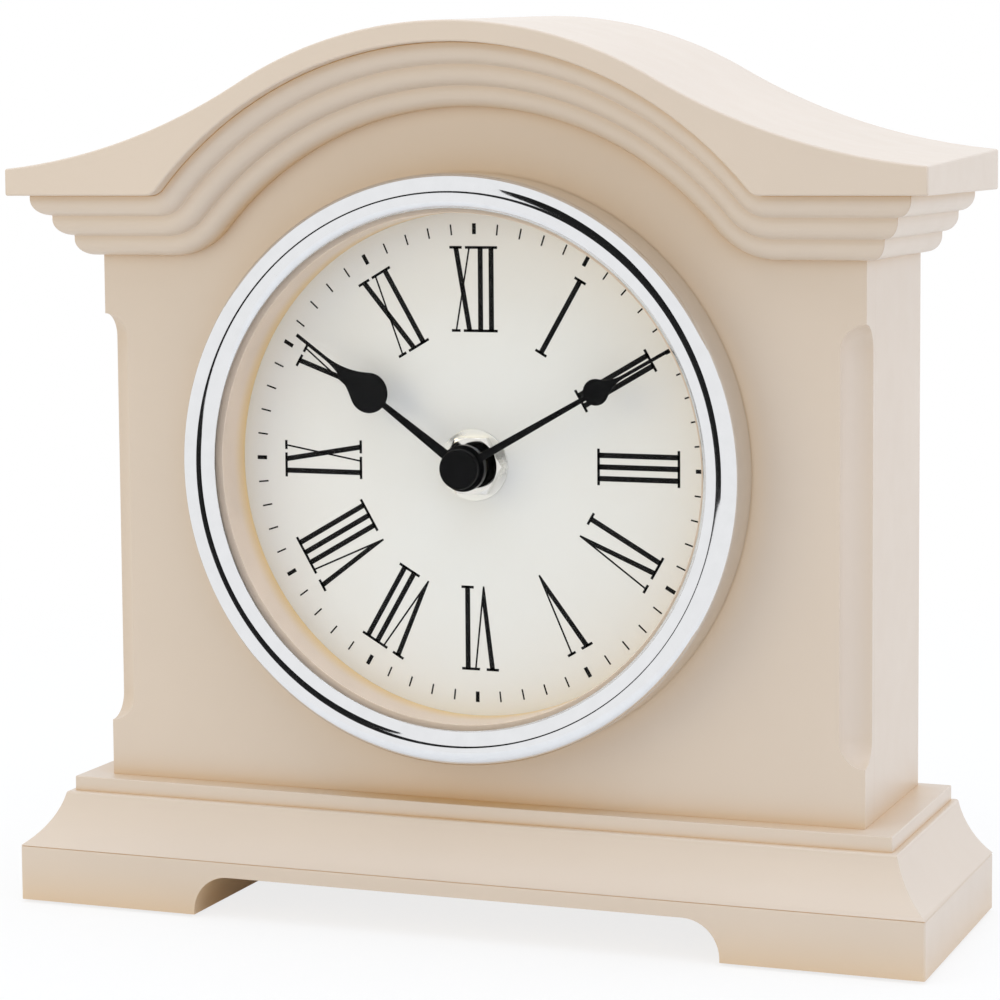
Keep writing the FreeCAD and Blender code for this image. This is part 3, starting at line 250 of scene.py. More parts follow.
class Surface(Nodes):
    """A node material under construction, with its principled shader."""

    # Samples and curve of the painted shade in recesses
    SHADE_SAMPLES = 16
    SHADE_POWER = 1.5
    # Sockets of a colour mix: factor, first colour, second colour
    MIX_SOCKETS = (0, 6, 7)
    MIX_RESULT = 2

    def __init__(self, name):
        self.material = bpy.data.materials.new(name)
        self.material.use_nodes = True
        super().__init__(self.material.node_tree)
        self.shader = self.tree.nodes["Principled BSDF"]
        self.place = self.node("ShaderNodeTexCoord").outputs["Object"]

    def unless(self, source, other):
        """Shows another shader where the source is one."""
        output = self.tree.nodes["Material Output"].inputs["Surface"]
        self.swapped(source, self.shader.outputs["BSDF"], other, output)

    def set(self, **values):
        for key, value in values.items():
            socket = self.shader.inputs[key.replace("_", " ").title().replace("Ior", "IOR")]
            socket.default_value = (*value, 1) if isinstance(value, tuple) else value

    def stretched(self, scale):
        """The place, scaled along each axis."""
        mapping = self.node("ShaderNodeMapping", {"Scale": scale})
        self.join(self.place, mapping.inputs["Vector"])
        return mapping.outputs["Vector"]

    def noise(self, size, detail=3, distortion=0, place=None):
        """Noise whose blotches have the given size in metres."""
        made = self.node(
            "ShaderNodeTexNoise", {"Scale": 1 / size, "Detail": detail, "Distortion": distortion}
        )
        self.join(place or self.place, made.inputs["Vector"])
        return made.outputs["Fac"]

    def along(self, axis):
        """The place along one axis."""
        axes = self.node("ShaderNodeSeparateXYZ")
        self.join(self.place, axes.inputs["Vector"])
        return axes.outputs[axis]

    def spread(self, source, low, high, start=NOISE_LOW, end=NOISE_HIGH, kind="LINEAR"):
        """A value that runs from low to high as the source runs from start to end."""
        made = self.node(
            "ShaderNodeMapRange",
            {"From Min": start, "From Max": end, "To Min": low, "To Max": high},
            interpolation_type=kind,
        )
        self.join(source, made.inputs["Value"])
        return made.outputs["Result"]

    def blended(self, source, first, second, start=NOISE_LOW, end=NOISE_HIGH):
        """A colour that runs from first to second as the source runs from start to end."""
        made = self.node("ShaderNodeValToRGB")
        stops = ((start, first), (end, second))
        for element, (position, value) in zip(made.color_ramp.elements, stops):
            element.position = position
            element.color = (*value, 1)
        self.join(source, made.inputs["Fac"])
        return made.outputs["Color"]

    def colour(self, source):
        self.join(source, self.shader.inputs["Base Color"])

    def rough(self, source):
        self.join(source, self.shader.inputs["Roughness"])

    def turning(self, source, rise, other):
        """A colour source that turns into another colour with the rise of a value."""
        factor, first, second = self.MIX_SOCKETS
        mix = self.node("ShaderNodeMix", {second: (*other, 1)}, data_type="RGBA")
        self.join(rise, mix.inputs[factor])
        self.join(source, mix.inputs[first])
        return mix.outputs[self.MIX_RESULT]

    def shaded(self, source, deep, reach):
        """Painted shade: the source colour turns into the deep colour inside recesses, where
        ambient occlusion finds them.
        """
        hidden = self.node(
            "ShaderNodeAmbientOcclusion", {"Distance": reach}, samples=self.SHADE_SAMPLES
        )
        curve = self.node("ShaderNodeMath", {1: self.SHADE_POWER}, operation="POWER")
        self.join(self.spread(hidden.outputs["AO"], 1, 0, 0.1, 0.9), curve.inputs[0])
        return self.turning(source, curve.outputs["Value"], deep)

    def relief(self, source, depth):
        """Bump from a value; depth is in metres, and reliefs add up."""
        made = self.node("ShaderNodeBump", {"Distance": depth, "Strength": 1.0})
        self.join(source, made.inputs["Height"])
        normal = self.shader.inputs["Normal"]
        if normal.is_linked:
            self.join(normal.links[0].from_socket, made.inputs["Normal"])
        self.join(made.outputs["Normal"], normal)


def tinted(value, factor):
    """A colour made lighter or darker by a factor."""
    return tuple(min(1.0, part * factor) for part in value)


def paint_surface(name, value, paint, roughness, grain):
    """Sprayed paint: faint clouds, painted shade that turns recesses warm and darker, a fine grain
    and slightly uneven gloss.
    """
    cloud_size, gloss_size, wave_size = 60 * MM, 9 * MM, 7 * MM
    grain_depth, wave_depth = 0.004 * MM, 0.015 * MM
    made = Surface(name)
    clouds = made.blended(
        made.noise(cloud_size, detail=4), tinted(value, 0.975), tinted(value, 1.015)
    )
    # Painted shade: in recesses the clouded paint colour turns warm and darker
    made.colour(made.shaded(clouds, paint.shade, paint.shade_reach))
    made.rough(made.spread(made.noise(gloss_size), roughness - 0.02, roughness + 0.04))
    made.relief(made.noise(grain, detail=2), grain_depth)
    made.relief(made.noise(wave_size, detail=1), wave_depth)
    made.set(ior=1.48)
    return made.material


def wood_surface(name, value):
    """Planed softwood with upright grain."""
    made = Surface(name)
    streaks = made.noise(14 * MM, detail=5, distortion=0.6, place=made.stretched((6, 6, 0.25)))
    made.colour(made.blended(streaks, tinted(value, 0.72), tinted(value, 1.12)))
    made.rough(made.spread(streaks, 0.5, 0.68))
    made.relief(streaks, 0.08 * MM)
    return made.material


def felt_surface(name, value):
    """Pressed felt with loose fibres."""
    made = Surface(name)
    fibres = made.noise(0.5 * MM, detail=6, distortion=2)
    made.colour(made.blended(fibres, tinted(value, 0.7), tinted(value, 1.3)))
    made.rough(made.spread(fibres, 0.85, 0.98))
    made.relief(fibres, 0.2 * MM)
    made.set(sheen_weight=0.4)
    return made.material


def metal_surface(name, value, roughness, brushed=0.0):
    """Plated or turned metal, with fine marks if it is brushed."""
    made = Surface(name)
    wipe = made.noise(4 * MM, detail=4)
    made.colour(made.blended(wipe, tinted(value, 0.97), tinted(value, 1.01)))
    made.rough(made.spread(wipe, roughness * 0.8, roughness * 1.25))
    made.set(metallic=1.0)
    if brushed:
        marks = made.noise(0.25 * MM, detail=2, place=made.stretched((1, 8, 1)))
        made.relief(marks, brushed)
    return made.material


def plastic_surface(name, value, roughness, texture=0.015 * MM, foot=None, **shader):
    """Moulded plastic with a fine texture; a foot (colour, first y, last y) is painted shade that
    the colour turns into along y.
    """
    pit_size, cloud_size = 0.35 * MM, 20 * MM
    made = Surface(name)
    pits = made.noise(pit_size)
    shown = made.blended(made.noise(cloud_size), tinted(value, 0.95), tinted(value, 1.05))
    if foot:
        other, start, end = foot
        # Painted shade: the colour turns into the foot's colour between the first and the last y
        depth = made.spread(made.along("Y"), 0, 1, start, end, "SMOOTHSTEP")
        shown = made.turning(shown, depth, other)
    made.colour(shown)
    made.rough(made.spread(pits, roughness - 0.06, roughness + 0.06))
    made.relief(pits, texture)
    made.set(**shader)
    return made.material


def glass_surface(name):
    """Clear coated glass that barely mirrors; light falls straight through it on the dial."""
    made = Surface(name)
    made.set(base_color=(1.0, 1.0, 1.0), transmission_weight=1.0, ior=1.1)
    made.rough(made.spread(made.noise(18 * MM), 0.0, 0.012))
    clear = made.node("ShaderNodeBsdfTransparent")
    made.unless(made.rays("Is Shadow Ray", "Is Diffuse Ray"), clear.outputs["BSDF"])
    return made.material


def card_surface(name, value):
    """Matt printed card: a breath of tooth and a faint warm cloud."""
    made = Surface(name)
    cloud = made.noise(35 * MM, detail=3)
    warm = (value[0], value[1] * 0.985, value[2] * 0.975)
    made.colour(made.blended(cloud, value, warm))
    made.rough(made.spread(made.noise(0.3 * MM), 0.5, 0.62))
    made.relief(made.noise(0.25 * MM, detail=4), 0.006 * MM)
    return made.material


def board_surface(name, value):
    """Circuit board: solder mask over copper tracks."""
    made = Surface(name)
    tracks = made.node("ShaderNodeTexBrick", {"Scale": 1 / (3 * MM), "Mortar Size": 0.06})
    upright = made.node("ShaderNodeMapping", {"Rotation": (math.pi / 2, 0, 0)})
    made.join(made.place, upright.inputs["Vector"])
    made.join(upright.outputs["Vector"], tracks.inputs["Vector"])
    made.colour(made.blended(tracks.outputs["Fac"], value, tinted(value, 1.7), 0.4, 0.6))
    made.rough(made.spread(made.noise(1 * MM), 0.25, 0.4))
    made.relief(tracks.outputs["Fac"], 0.05 * MM)
    return made.material


def battery_surface(name, body_value, band_value, band_start):
    """Printed film: a dark body with a plain band round the plus end."""
    fade = 0.05 * MM
    made = Surface(name)
    band = made.spread(made.along("X"), 0, 1, band_start, band_start + fade)
    made.colour(made.blended(band, body_value, band_value, 0.45, 0.55))
    made.rough(made.spread(made.noise(3 * MM), 0.2, 0.3))
    made.set(metallic=0.35)
    return made.material


def smoothing():
    """Shared modifier nodes: plain normals, smooth except over the given angle."""
    made = Nodes(bpy.data.node_groups.new("smooth_by_angle", "GeometryNodeTree"))
    face = made.tree.interface
    for way in ("INPUT", "OUTPUT"):
        face.new_socket("Geometry", in_out=way, socket_type="NodeSocketGeometry")
    angle = face.new_socket("Angle", in_out="INPUT", socket_type="NodeSocketFloat")
    angle.default_value = math.radians(SOFT_DEGREES)
    entry = made.node("NodeGroupInput")
    plain = made.node("GeometryNodeRemoveAttribute", {"Name": "custom_normal"})
    faces = made.node("GeometryNodeSetShadeSmooth")
    corner = made.node("GeometryNodeInputMeshEdgeAngle")
    below = made.node("FunctionNodeCompare", operation="LESS_THAN")
    edges = made.node("GeometryNodeSetShadeSmooth", domain="EDGE")
    leave = made.node("NodeGroupOutput")
    for before, after in ((entry, plain), (plain, faces), (faces, edges), (edges, leave)):
        made.join(before.outputs["Geometry"], after.inputs["Geometry"])
    made.join(corner.outputs["Unsigned Angle"], below.inputs["A"])
    made.join(entry.outputs["Angle"], below.inputs["B"])
    made.join(below.outputs["Result"], edges.inputs["Shade Smooth"])
    made.tree["angle_key"] = angle.identifier
    return made.tree


def smoothed(piece, degrees=SOFT_DEGREES):
    """Smooth shading except over the given angle, with flat faces kept flat."""
    tree = bpy.data.node_groups.get("smooth_by_angle") or smoothing()
    nodes = assigned(piece.modifiers.new("smooth", "NODES"), node_group=tree)
    nodes[tree["angle_key"]] = math.radians(degrees)
    assigned(piece.modifiers.new("flat_faces", "WEIGHTED_NORMAL"), keep_sharp=True, weight=100)


def eased(piece, width, degrees=SOFT_DEGREES, segments=3):
    """Rounds the sharp edges of a piece and shades it smoothly."""
    assigned(piece.modifiers.new("weld", "WELD"), merge_threshold=SNAP)
    assigned(
        piece.modifiers.new("flat", "DECIMATE"),
        decimate_type="DISSOLVE", angle_limit=math.radians(FLAT_DEGREES),
    )
    if width:
        assigned(
            piece.modifiers.new("ease", "BEVEL"), width=width, segments=segments,
            limit_method="ANGLE", angle_limit=math.radians(degrees),
        )
    smoothed(piece, degrees)


def dressed(names, material, width=0.0, degrees=SOFT_DEGREES, segments=3):
    """Gives carried-over nodes their material and eases their edges."""
    for name in names:
        node = NODES[name]
        node.data.materials.clear()
        node.data.materials.append(material)
        eased(node, width, degrees, segments)


def placed(name, data):
    """A new object in the scene."""
    made = bpy.data.objects.new(name, data)
    bpy.context.scene.collection.objects.link(made)
    return made


def piece_from(name, points, faces, material, body, stands_for=()):
    """A new mesh piece that rides on a body and may stand for nodes."""
    data = bpy.data.meshes.new(name)
    data.from_pydata([tuple(point) for point in points], [], faces)
    data.materials.append(material)
    work = bmesh.new()
    work.from_mesh(data)
    bmesh.ops.recalc_face_normals(work, faces=work.faces)
    work.to_mesh(data)
    work.free()
    piece = placed(name, data)
    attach(piece, body)
    if stands_for:
        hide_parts(*stands_for)
    return piece


def on_dial(radius, angle, y):
    """A point at a radius and a turn about the dial's axis."""
    return Vector((radius * math.cos(angle), y, DIAL_Z + radius * math.sin(angle)))


def ring_faces(first, steps, rings):
    """Faces between rings of points that follow one another."""
    faces = []
    for here in range(first, first + (rings - 1) * steps, steps):
        for step in range(steps):
            after = (step + 1) % steps
            faces.append((here + step, here + after, here + steps + after, here + steps + step))
    return faces


def turned(profile, steps, swell=None, place=on_dial):
    """Points and faces of a closed profile of (radius, length) turned about an axis."""
    points = []
    for step in range(steps):
        angle = math.tau * step / steps
        for radius, along in profile:
            extra = swell(radius, along, angle) if swell else 0
            points.append(place(radius + extra, angle, along))
    rows = len(profile)
    faces = []
    for step in range(steps):
        here = step * rows
        there = (step + 1) % steps * rows
        for row in range(rows):
            after = (row + 1) % rows
            faces.append((here + row, here + after, there + after, there + row))
    return points, faces


def stepped(point, reach, angle):
    """The point of a (radius, height) section at a reach and an angle from another."""
    return (point[0] + reach * math.cos(angle), point[1] + reach * math.sin(angle))


def arc_points(centre, radius, start, end, step=math.radians(3)):
    """Points along an arc in a (radius, height) section."""
    count = max(2, round(abs(end - start) / step))
    angles = [start + (end - start) * i / count for i in range(count + 1)]
    return [stepped(centre, radius, angle) for angle in angles]


def islands(node):
    """The box of each separate solid of a node, as (low, high) corners."""
    work = bmesh.new()
    work.from_mesh(NODES[node].data)
    bmesh.ops.remove_doubles(work, verts=work.verts, dist=SNAP)
    left = set(work.verts)
    boxes = []
    while left:
        stack = [left.pop()]
        group = []
        while stack:
            vertex = stack.pop()
            group.append(vertex.co.copy())
            near = left & {edge.other_vert(vertex) for edge in vertex.link_edges}
            left -= near
            stack += near
        boxes.append(tuple(Vector(map(pick, zip(*group))) for pick in (min, max)))
    work.free()
    return sorted(boxes, key=lambda pair: tuple(round(value, 6) for value in pair[0]))


class CLOCK_OT_case(Operator):
    """Paint the boards of the case and its mouldings"""

    bl_idname = "clock.case"
    bl_label = "Case"

    CORNICE_SHARE = 0.6

    def execute(self, context):
        paint = context.scene.clock_paint
        # The case paint carries painted shade in its recesses
        material = paint_surface("case_paint", paint.case, paint, paint.roughness, paint.grain)
        cornice = ["cornice_front", "cornice_left", "cornice_right"]
        boards = ["cove_board", "front_panel", "side_board_left", "side_board_right"]
        for names, edge in (
            (["cap_board"], paint.edge),
            (cornice, paint.edge * self.CORNICE_SHARE),
            (boards + ["plinth_board", "base_block"], paint.seam),
        ):
            dressed(names, material, edge, BOARD_DEGREES)
        dressed(["felt_pads"], felt_surface("pad_felt", paint.felt), 0.2 * MM)
        return {"FINISHED"}


class CLOCK_OT_bezel(Operator):
    """Spin the bezel from its section"""

    bl_idname = "clock.bezel"
    bl_label = "Bezel"

    def execute(self, context):
        bezel = context.scene.clock_bezel
        low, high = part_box("bezel")
        outer = (high.x - low.x) / 2
        material = metal_surface("bezel_chrome", bezel.chrome, 0.035)
        profile = [(radius, CASE_FRONT - rise) for radius, rise in self.section(bezel, outer)]
        points, faces = turned(profile, bezel.steps)
        piece = piece_from("bezel_ring", points, faces, material, "case", ["bezel"])
        smoothed(piece)
        return {"FINISHED"}

    def section(self, bezel, outer):
        """The closed section of the sheet as (radius, height before the panel)."""
        corner = (outer - bezel.corner_radius, bezel.wall_height)
        dome = stepped(corner, bezel.corner_radius - bezel.dome_radius, bezel.dome_start)
        roll = stepped(dome, bezel.dome_radius - bezel.roll_radius, bezel.dome_end)
        chain = (
            (corner, bezel.corner_radius, 0, bezel.dome_start),
            (dome, bezel.dome_radius, bezel.dome_start, bezel.dome_end),
            (roll, bezel.roll_radius, bezel.dome_end, bezel.roll_end),
        )
        front = []
        back = []
        for centre, radius, start, end in chain:
            front += arc_points(centre, radius, start, end)[:-1]
            back += arc_points(centre, radius - bezel.sheet, start, end)[:-1]
        half = bezel.sheet / 2
        across = bezel.roll_end
        middle = stepped(roll, bezel.roll_radius - half, across)
        nose = arc_points(middle, half, across, across + math.pi, math.radians(15))
        groove = outer - bezel.foot_depth
        foot = [(groove, 0), (groove, bezel.foot_gap), (outer, bezel.foot_gap)]
        return foot + front + nose + back[::-1] + [(outer - bezel.sheet, 0)]


class CLOCK_OT_glass(Operator):
    """Cut the flat glass and grind its edge"""

    bl_idname = "clock.glass"
    bl_label = "Glass"

    def execute(self, context):
        bezel = context.scene.clock_bezel
        low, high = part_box("glass")
        radius = (high.x - low.x) / 2
        edge = bezel.glass_edge
        rings = [
            (radius - edge, low.y), (radius, low.y + edge),
            (radius, high.y - edge), (radius - edge, high.y),
        ]
        steps = bezel.steps
        points = [on_dial(r, math.tau * i / steps, y) for r, y in rings for i in range(steps)]
        faces = [tuple(range(steps)), tuple(range(3 * steps, 4 * steps))]
        faces += ring_faces(0, steps, len(rings))
        material = glass_surface("clear_glass")
        piece_from("flat_glass", points, faces, material, "case", ["glass"])
        return {"FINISHED"}


class CLOCK_OT_surround(Operator):
    """Paint the ring between glass and dial, with painted warm shade towards the dial"""

    bl_idname = "clock.surround"
    bl_label = "Surround"

    # Share of the ring's depth that keeps the plain colour; deeper, towards the dial, painted warm
    # shade takes over
    PLAIN_SHARE = 0.45

    def execute(self, context):
        bezel = context.scene.clock_bezel
        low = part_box("glass")[1].y
        start = low + self.PLAIN_SHARE * (DIAL_FACE - low)
        # Painted warm shade over the ring's deeper part, next to the dial
        foot = (bezel.surround_foot, start, DIAL_FACE)
        material = plastic_surface("surround_paint", bezel.surround, 0.38, FINE_TEXTURE, foot)
        dressed(["dial_surround"], material, 0.15 * MM)
        return {"FINISHED"}


class CLOCK_OT_dial(Operator):
    """Finish the dial card"""

    bl_idname = "clock.dial"
    bl_label = "Dial"

    def execute(self, context):
        dial = context.scene.clock_dial
        dressed(["dial_plate"], card_surface("dial_card_white", dial.card), 0.1 * MM)
        return {"FINISHED"}


def clock_point(angle, side, out):
    """The (x, z) of a point outwards along a clock angle and to the side of it."""
    x = math.cos(angle) * side + math.sin(angle) * out
    z = math.cos(angle) * out - math.sin(angle) * side
    return x, DIAL_Z + z


def dial_print(name, outlines, ink):
    """Ink that stands on the dial inside the given (x, z) outlines."""
    height = bpy.context.scene.clock_dial.print_height
    points = []
    faces = []
    for outline in outlines:
        first = len(points)
        count = len(outline)
        for y in (DIAL_FACE - height, DIAL_FACE):
            points += [Vector((x, y, z)) for x, z in outline]
        faces.append(tuple(range(first, first + count)))
        faces.append(tuple(range(first + count, first + 2 * count)))
        faces += ring_faces(first, count, 2)
    piece_from(name, points, faces, ink, "case")


class CLOCK_OT_numerals(Operator):
    """Print the Roman numerals, with their feet towards the middle"""

    bl_idname = "clock.numerals"
    bl_label = "Numerals"

    # Each numeral with its shift clockwise and outwards in millimetres
    NUMERALS = (
        ("I", 1.4, -0.1), ("II", -0.3, -0.7), ("III", -0.6, -0.8), ("IV", -1.2, -0.8),
        ("V", -1.6, -1.4), ("VI", -1.3, -2.9), ("VII", -1.6, -1.2), ("VIII", -0.8, -2.0),
        ("IX", 0.4, -2.9), ("X", 0.0, -0.5), ("XI", 0.4, -0.5), ("XII", 0.2, 0.0),
    )
    CROSS_SHARE = 1.28
    FORK_SHARE = 1.6
    FORK_GAP_SHARE = 0.7
    SERIF_SHARE = 1.25
    HAIR_SERIF_SHARE = 2.65
    COUNTER_SHARE = 0.235
    JOIN_SHARE = 0.2
    NOTCH_SHARE = 1.4

    def execute(self, context):
        dial = context.scene.clock_dial
        ink = plastic_surface("dial_ink", dial.ink, 0.5, FINE_TEXTURE, specular_ior_level=0.1)
        outlines = []
        for hour, (numeral, clockwise, outwards) in enumerate(self.NUMERALS, 1):
            angle = math.tau * hour / 12
            shapes = self.shapes(numeral, dial)
            sides = [u for shape in shapes for u, _ in shape]
            middle = (min(sides) + max(sides)) / 2 - clockwise * MM
            foot = dial.numeral_foot + outwards * MM
            for shape in shapes:
                outlines.append([clock_point(angle, u - middle, foot + v) for u, v in shape])
        dial_print("dial_numerals", outlines, ink)
        return {"FINISHED"}

    def shapes(self, numeral, dial):
        """Outlines of one numeral as (across, up) points from its first stem."""
        height = dial.numeral_head - dial.numeral_foot
        stem = dial.stem / 2
        hair = dial.hairline / 2
        pitch = dial.stem_pitch
        shapes = []
        tops = []
        feet = []
        cursor = 0.0
        for letter in numeral:
            if letter == "I":
                shapes.append(self.stroke(cursor, cursor, stem, height))
                tops.append((cursor, stem))
                feet.append((cursor, stem))
                cursor += pitch
            elif letter == "X":
                wide = pitch * self.CROSS_SHARE
                shapes.append(self.stroke(cursor, cursor + wide, stem, height))
                shapes.append(self.stroke(cursor + wide, cursor, hair, height))
                tops += [(cursor, stem), (cursor + wide, hair)]
                feet += [(cursor, hair), (cursor + wide, stem)]
                cursor += wide + pitch
            else:
                wide = pitch * self.FORK_SHARE
                shapes.append(self.fork(cursor, wide, stem, hair, height))
                tops += [(cursor, stem), (cursor + wide, hair)]
                cursor += wide + pitch * self.FORK_GAP_SHARE
        for row, low in ((tops, height - dial.serif), (feet, 0)):
            shapes += self.bars(row, low, dial, stem)
        return shapes

    def stroke(self, top, foot, half, height):
        """A straight stroke of constant width."""
        return [(top - half, height), (foot - half, 0), (foot + half, 0), (top + half, height)]

    def fork(self, left, wide, stem, hair, height):
        """The pointed numeral with a thick and a thin arm."""
        tip = left + wide / 2
        counter = height * self.COUNTER_SHARE
        return [
            (left - stem, height), (tip - hair, 0), (tip + hair, 0),
            (left + wide + hair, height), (left + wide - hair, height),
            (tip + hair * self.NOTCH_SHARE, counter), (left + stem, height),
        ]

    def bars(self, ends, low, dial, stem):
        """Serif bars over stroke ends; bars that nearly touch become one."""
        spans = []
        for middle, half in sorted(ends):
            if half == stem:
                reach = dial.stem * self.SERIF_SHARE
            else:
                reach = dial.hairline * self.HAIR_SERIF_SHARE
            span = [middle - reach, middle + reach]
            if spans and span[0] - spans[-1][1] < dial.stem_pitch * self.JOIN_SHARE:
                spans[-1][1] = span[1]
            else:
                spans.append(span)
        high = low + dial.serif
        return [[(a, low), (b, low), (b, high), (a, high)] for a, b in spans]


class CLOCK_OT_minute_track(Operator):
    """Print the minute marks"""

    bl_idname = "clock.minute_track"
    bl_label = "Minute track"

    def execute(self, context):
        dial = context.scene.clock_dial
        outlines = []
        for minute in range(60):
            half = (dial.minute_mark if minute % 5 else dial.hour_mark) / 2
            outline = []
            for side, out in (
                (-half, dial.track_foot), (half, dial.track_foot),
                (half, dial.track_head), (-half, dial.track_head),
            ):
                x, z = clock_point(math.tau * minute / 60, side, out)
                outline.append((x + dial.track_right, z + dial.track_up))
            outlines.append(outline)
        dial_print("dial_minute_track", outlines, bpy.data.materials["dial_ink"])
        return {"FINISHED"}


class CLOCK_OT_centre(Operator):
    """Finish the washer, the nut and the threaded bush"""

    bl_idname = "clock.centre"
    bl_label = "Centre"

    FLANGE_THICKNESS = 0.8 * MM
    BORE_SHARE = 0.664
    THREAD_ROWS = 90
    # Turns over which the thread runs out at the bush's end
    RUN_OUT = 0.4

    def execute(self, context):
        hands = context.scene.clock_hands
        card = context.scene.clock_dial.card
        steel = metal_surface("washer_steel", tinted(card, 0.98), 0.3)
        nickel = metal_surface("nut_nickel", hands.nickel, 0.08)
        dressed(["dial_washer"], steel, 0.1 * MM)
        dressed(["hex_nut"], nickel, 0.12 * MM, 20)
        self.bush(hands, context.scene.clock_bezel.steps // 2)
        return {"FINISHED"}

    def bush(self, hands, steps):
        """The bush with a real thread on its outside."""
        low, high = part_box("threaded_bush")
        flange = (high.x - low.x) / 2
        front_floor = high.y - self.FLANGE_THICKNESS
        outer = hands.bush_radius
        bore = outer * self.BORE_SHARE
        rows = self.THREAD_ROWS
        run = front_floor - low.y
        profile = [(outer, low.y + run * i / rows) for i in range(rows + 1)]
        profile += [(flange, front_floor), (flange, high.y), (bore, high.y), (bore, low.y)]

        def thread(radius, y, angle):
            if radius != outer:
                return 0.0
            turns = (y - low.y) / hands.thread_pitch
            phase = (turns - angle / math.tau) % 1
            groove = 1 - abs(phase * 2 - 1)
            lead = min(1.0, max(0.0, turns + self.RUN_OUT))
            return -hands.thread_depth * (groove * lead + (1 - lead))

        points, faces = turned(profile, steps, thread)
        brass = metal_surface("bush_brass", hands.brass, 0.16)
        piece = piece_from(
            "bush_thread", points, faces, brass, "case", ["threaded_bush"]
        )
        smoothed(piece, 35)


class CLOCK_OT_hands(Operator):
    """Lacquer the hands and turn their cap"""

    bl_idname = "clock.hands"
    bl_label = "Hands"

    def execute(self, context):
        hands = context.scene.clock_hands
        black = Surface("hand_black")
        value = hands.black
        wipe = black.noise(5 * MM)
        black.colour(black.blended(wipe, tinted(value, 0.8), tinted(value, 1.2)))
        black.rough(black.spread(wipe, 0.1, 0.16))
        black.set(specular_ior_level=0.06)
        dressed(["hour_hand", "minute_hand"], black.material, 0.08 * MM, 50, 2)
        low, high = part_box("hand_cap")
        radius = (high.x - low.x) / 2
        edge = hands.cap_edge
        corner = arc_points((radius - edge, 0), edge, 0, math.pi / 2, math.radians(9))
        front = [(r, low.y + edge - rise) for r, rise in corner]
        profile = [(radius, high.y)] + front + [(SNAP, low.y), (SNAP, high.y)]
        points, faces = turned(profile, context.scene.clock_bezel.steps // 2)
        piece = piece_from(
            "hand_cap_turned", points, faces, black.material, "minute_hand",
            ["hand_cap"],
        )
        smoothed(piece)
        return {"FINISHED"}


def wound(name, node, axis, wire, material):
    """A coil of wire turns over the winding's core, along an axis (0 is X, 2 is Z)."""
    steps, core_share, rows_per_turn = 96, 0.6, 6
    low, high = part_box(node)
    middle = (low + high) / 2
    others = [i for i in range(3) if i != axis]
    outer = (high[others[0]] - low[others[0]]) / 2
    inner = outer * core_share
    run = high[axis] - low[axis]
    rows = round(run / wire) * rows_per_turn
    profile = [(outer, low[axis] + run * i / rows) for i in range(rows + 1)]
    profile += [(inner, high[axis]), (inner, low[axis])]

    def swell(radius, along, angle):
        if radius != outer:
            return 0.0
        phase = ((along - low[axis]) / wire + angle / math.tau) % 1
        return -wire / 2 * (1 - math.sqrt(max(0.0, 1 - (phase * 2 - 1) ** 2)))

    def place(radius, angle, along):
        point = [0.0, 0.0, 0.0]
        point[axis] = along
        point[others[0]] = middle[others[0]] + radius * math.cos(angle)
        point[others[1]] = middle[others[1]] + radius * math.sin(angle)
        return Vector(point)

    points, faces = turned(profile, steps, swell, place)
    piece = piece_from(name, points, faces, material, "case", [node])
    smoothed(piece, 60)


class CLOCK_OT_movement(Operator):
    """Finish the movement: housing, wheels, coil, aerial and board"""

    bl_idname = "clock.movement"
    bl_label = "Movement"

    def execute(self, context):
        values = context.scene.clock_movement
        housing = plastic_surface("housing_plastic", values.housing, 0.42)
        gear = plastic_surface(
            "gear_plastic", values.gear, 0.32, 0.005 * MM,
            subsurface_weight=0.15, subsurface_scale=MM,
        )
        button = plastic_surface("button_plastic", values.button, 0.38)
        copper = metal_surface("copper_wire", values.copper, 0.22)
        ferrite = plastic_surface("ferrite_grey", values.ferrite, 0.55, 0.04 * MM)
        steel = metal_surface("bright_steel", values.steel, 0.22, 0.01 * MM)
        board = board_surface("circuit_green", values.board)
        housings = ["front_housing", "back_cover", "train_bridge", "control_chip"]
        wheels = ["hour_wheel", "motion_wheel", "intermediate_wheel", "minute_arbor"]
        small = ["wheel_posts", "bridge_screws", "stator", "quartz_crystal", "switch_domes"]
        for names, material, edge in (
            (housings, housing, 0.15), (wheels, gear, 0), (["coil_bobbin"], gear, 0.1),
            (["ferrite_rod", "rotor"], ferrite, 0.1), (small, steel, 0.08),
            (["dial_screws"], steel, 0.05), (["circuit_board"], board, 0.1),
        ):
            dressed(names, material, edge * MM)
        buttons = ["button_set", "button_receive", "button_reset"]
        dressed(buttons, button, 0.1 * MM, 60)
        wound("coil_turns", "coil_winding", 2, values.wire, copper)
        wound("aerial_turns", "aerial_winding", 0, values.wire * 1.6, copper)
        return {"FINISHED"}


class CLOCK_OT_battery(Operator):
    """Wrap the battery and plate its contacts"""

    bl_idname = "clock.battery"
    bl_label = "Battery"

    # Share of the battery's length that the band covers
    BAND_SHARE = 0.25

    def execute(self, context):
        values = context.scene.clock_movement
        low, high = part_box("battery")
        wrap = battery_surface(
            "battery_film", values.battery, values.band,
            high.x - self.BAND_SHARE * (high.x - low.x),
        )
        dressed(["battery"], wrap, 0.0, 50)
        nickel = metal_surface("contact_nickel", context.scene.clock_hands.nickel, 0.18)
        dressed(["battery_contacts"], nickel, 0.08 * MM)
        return {"FINISHED"}


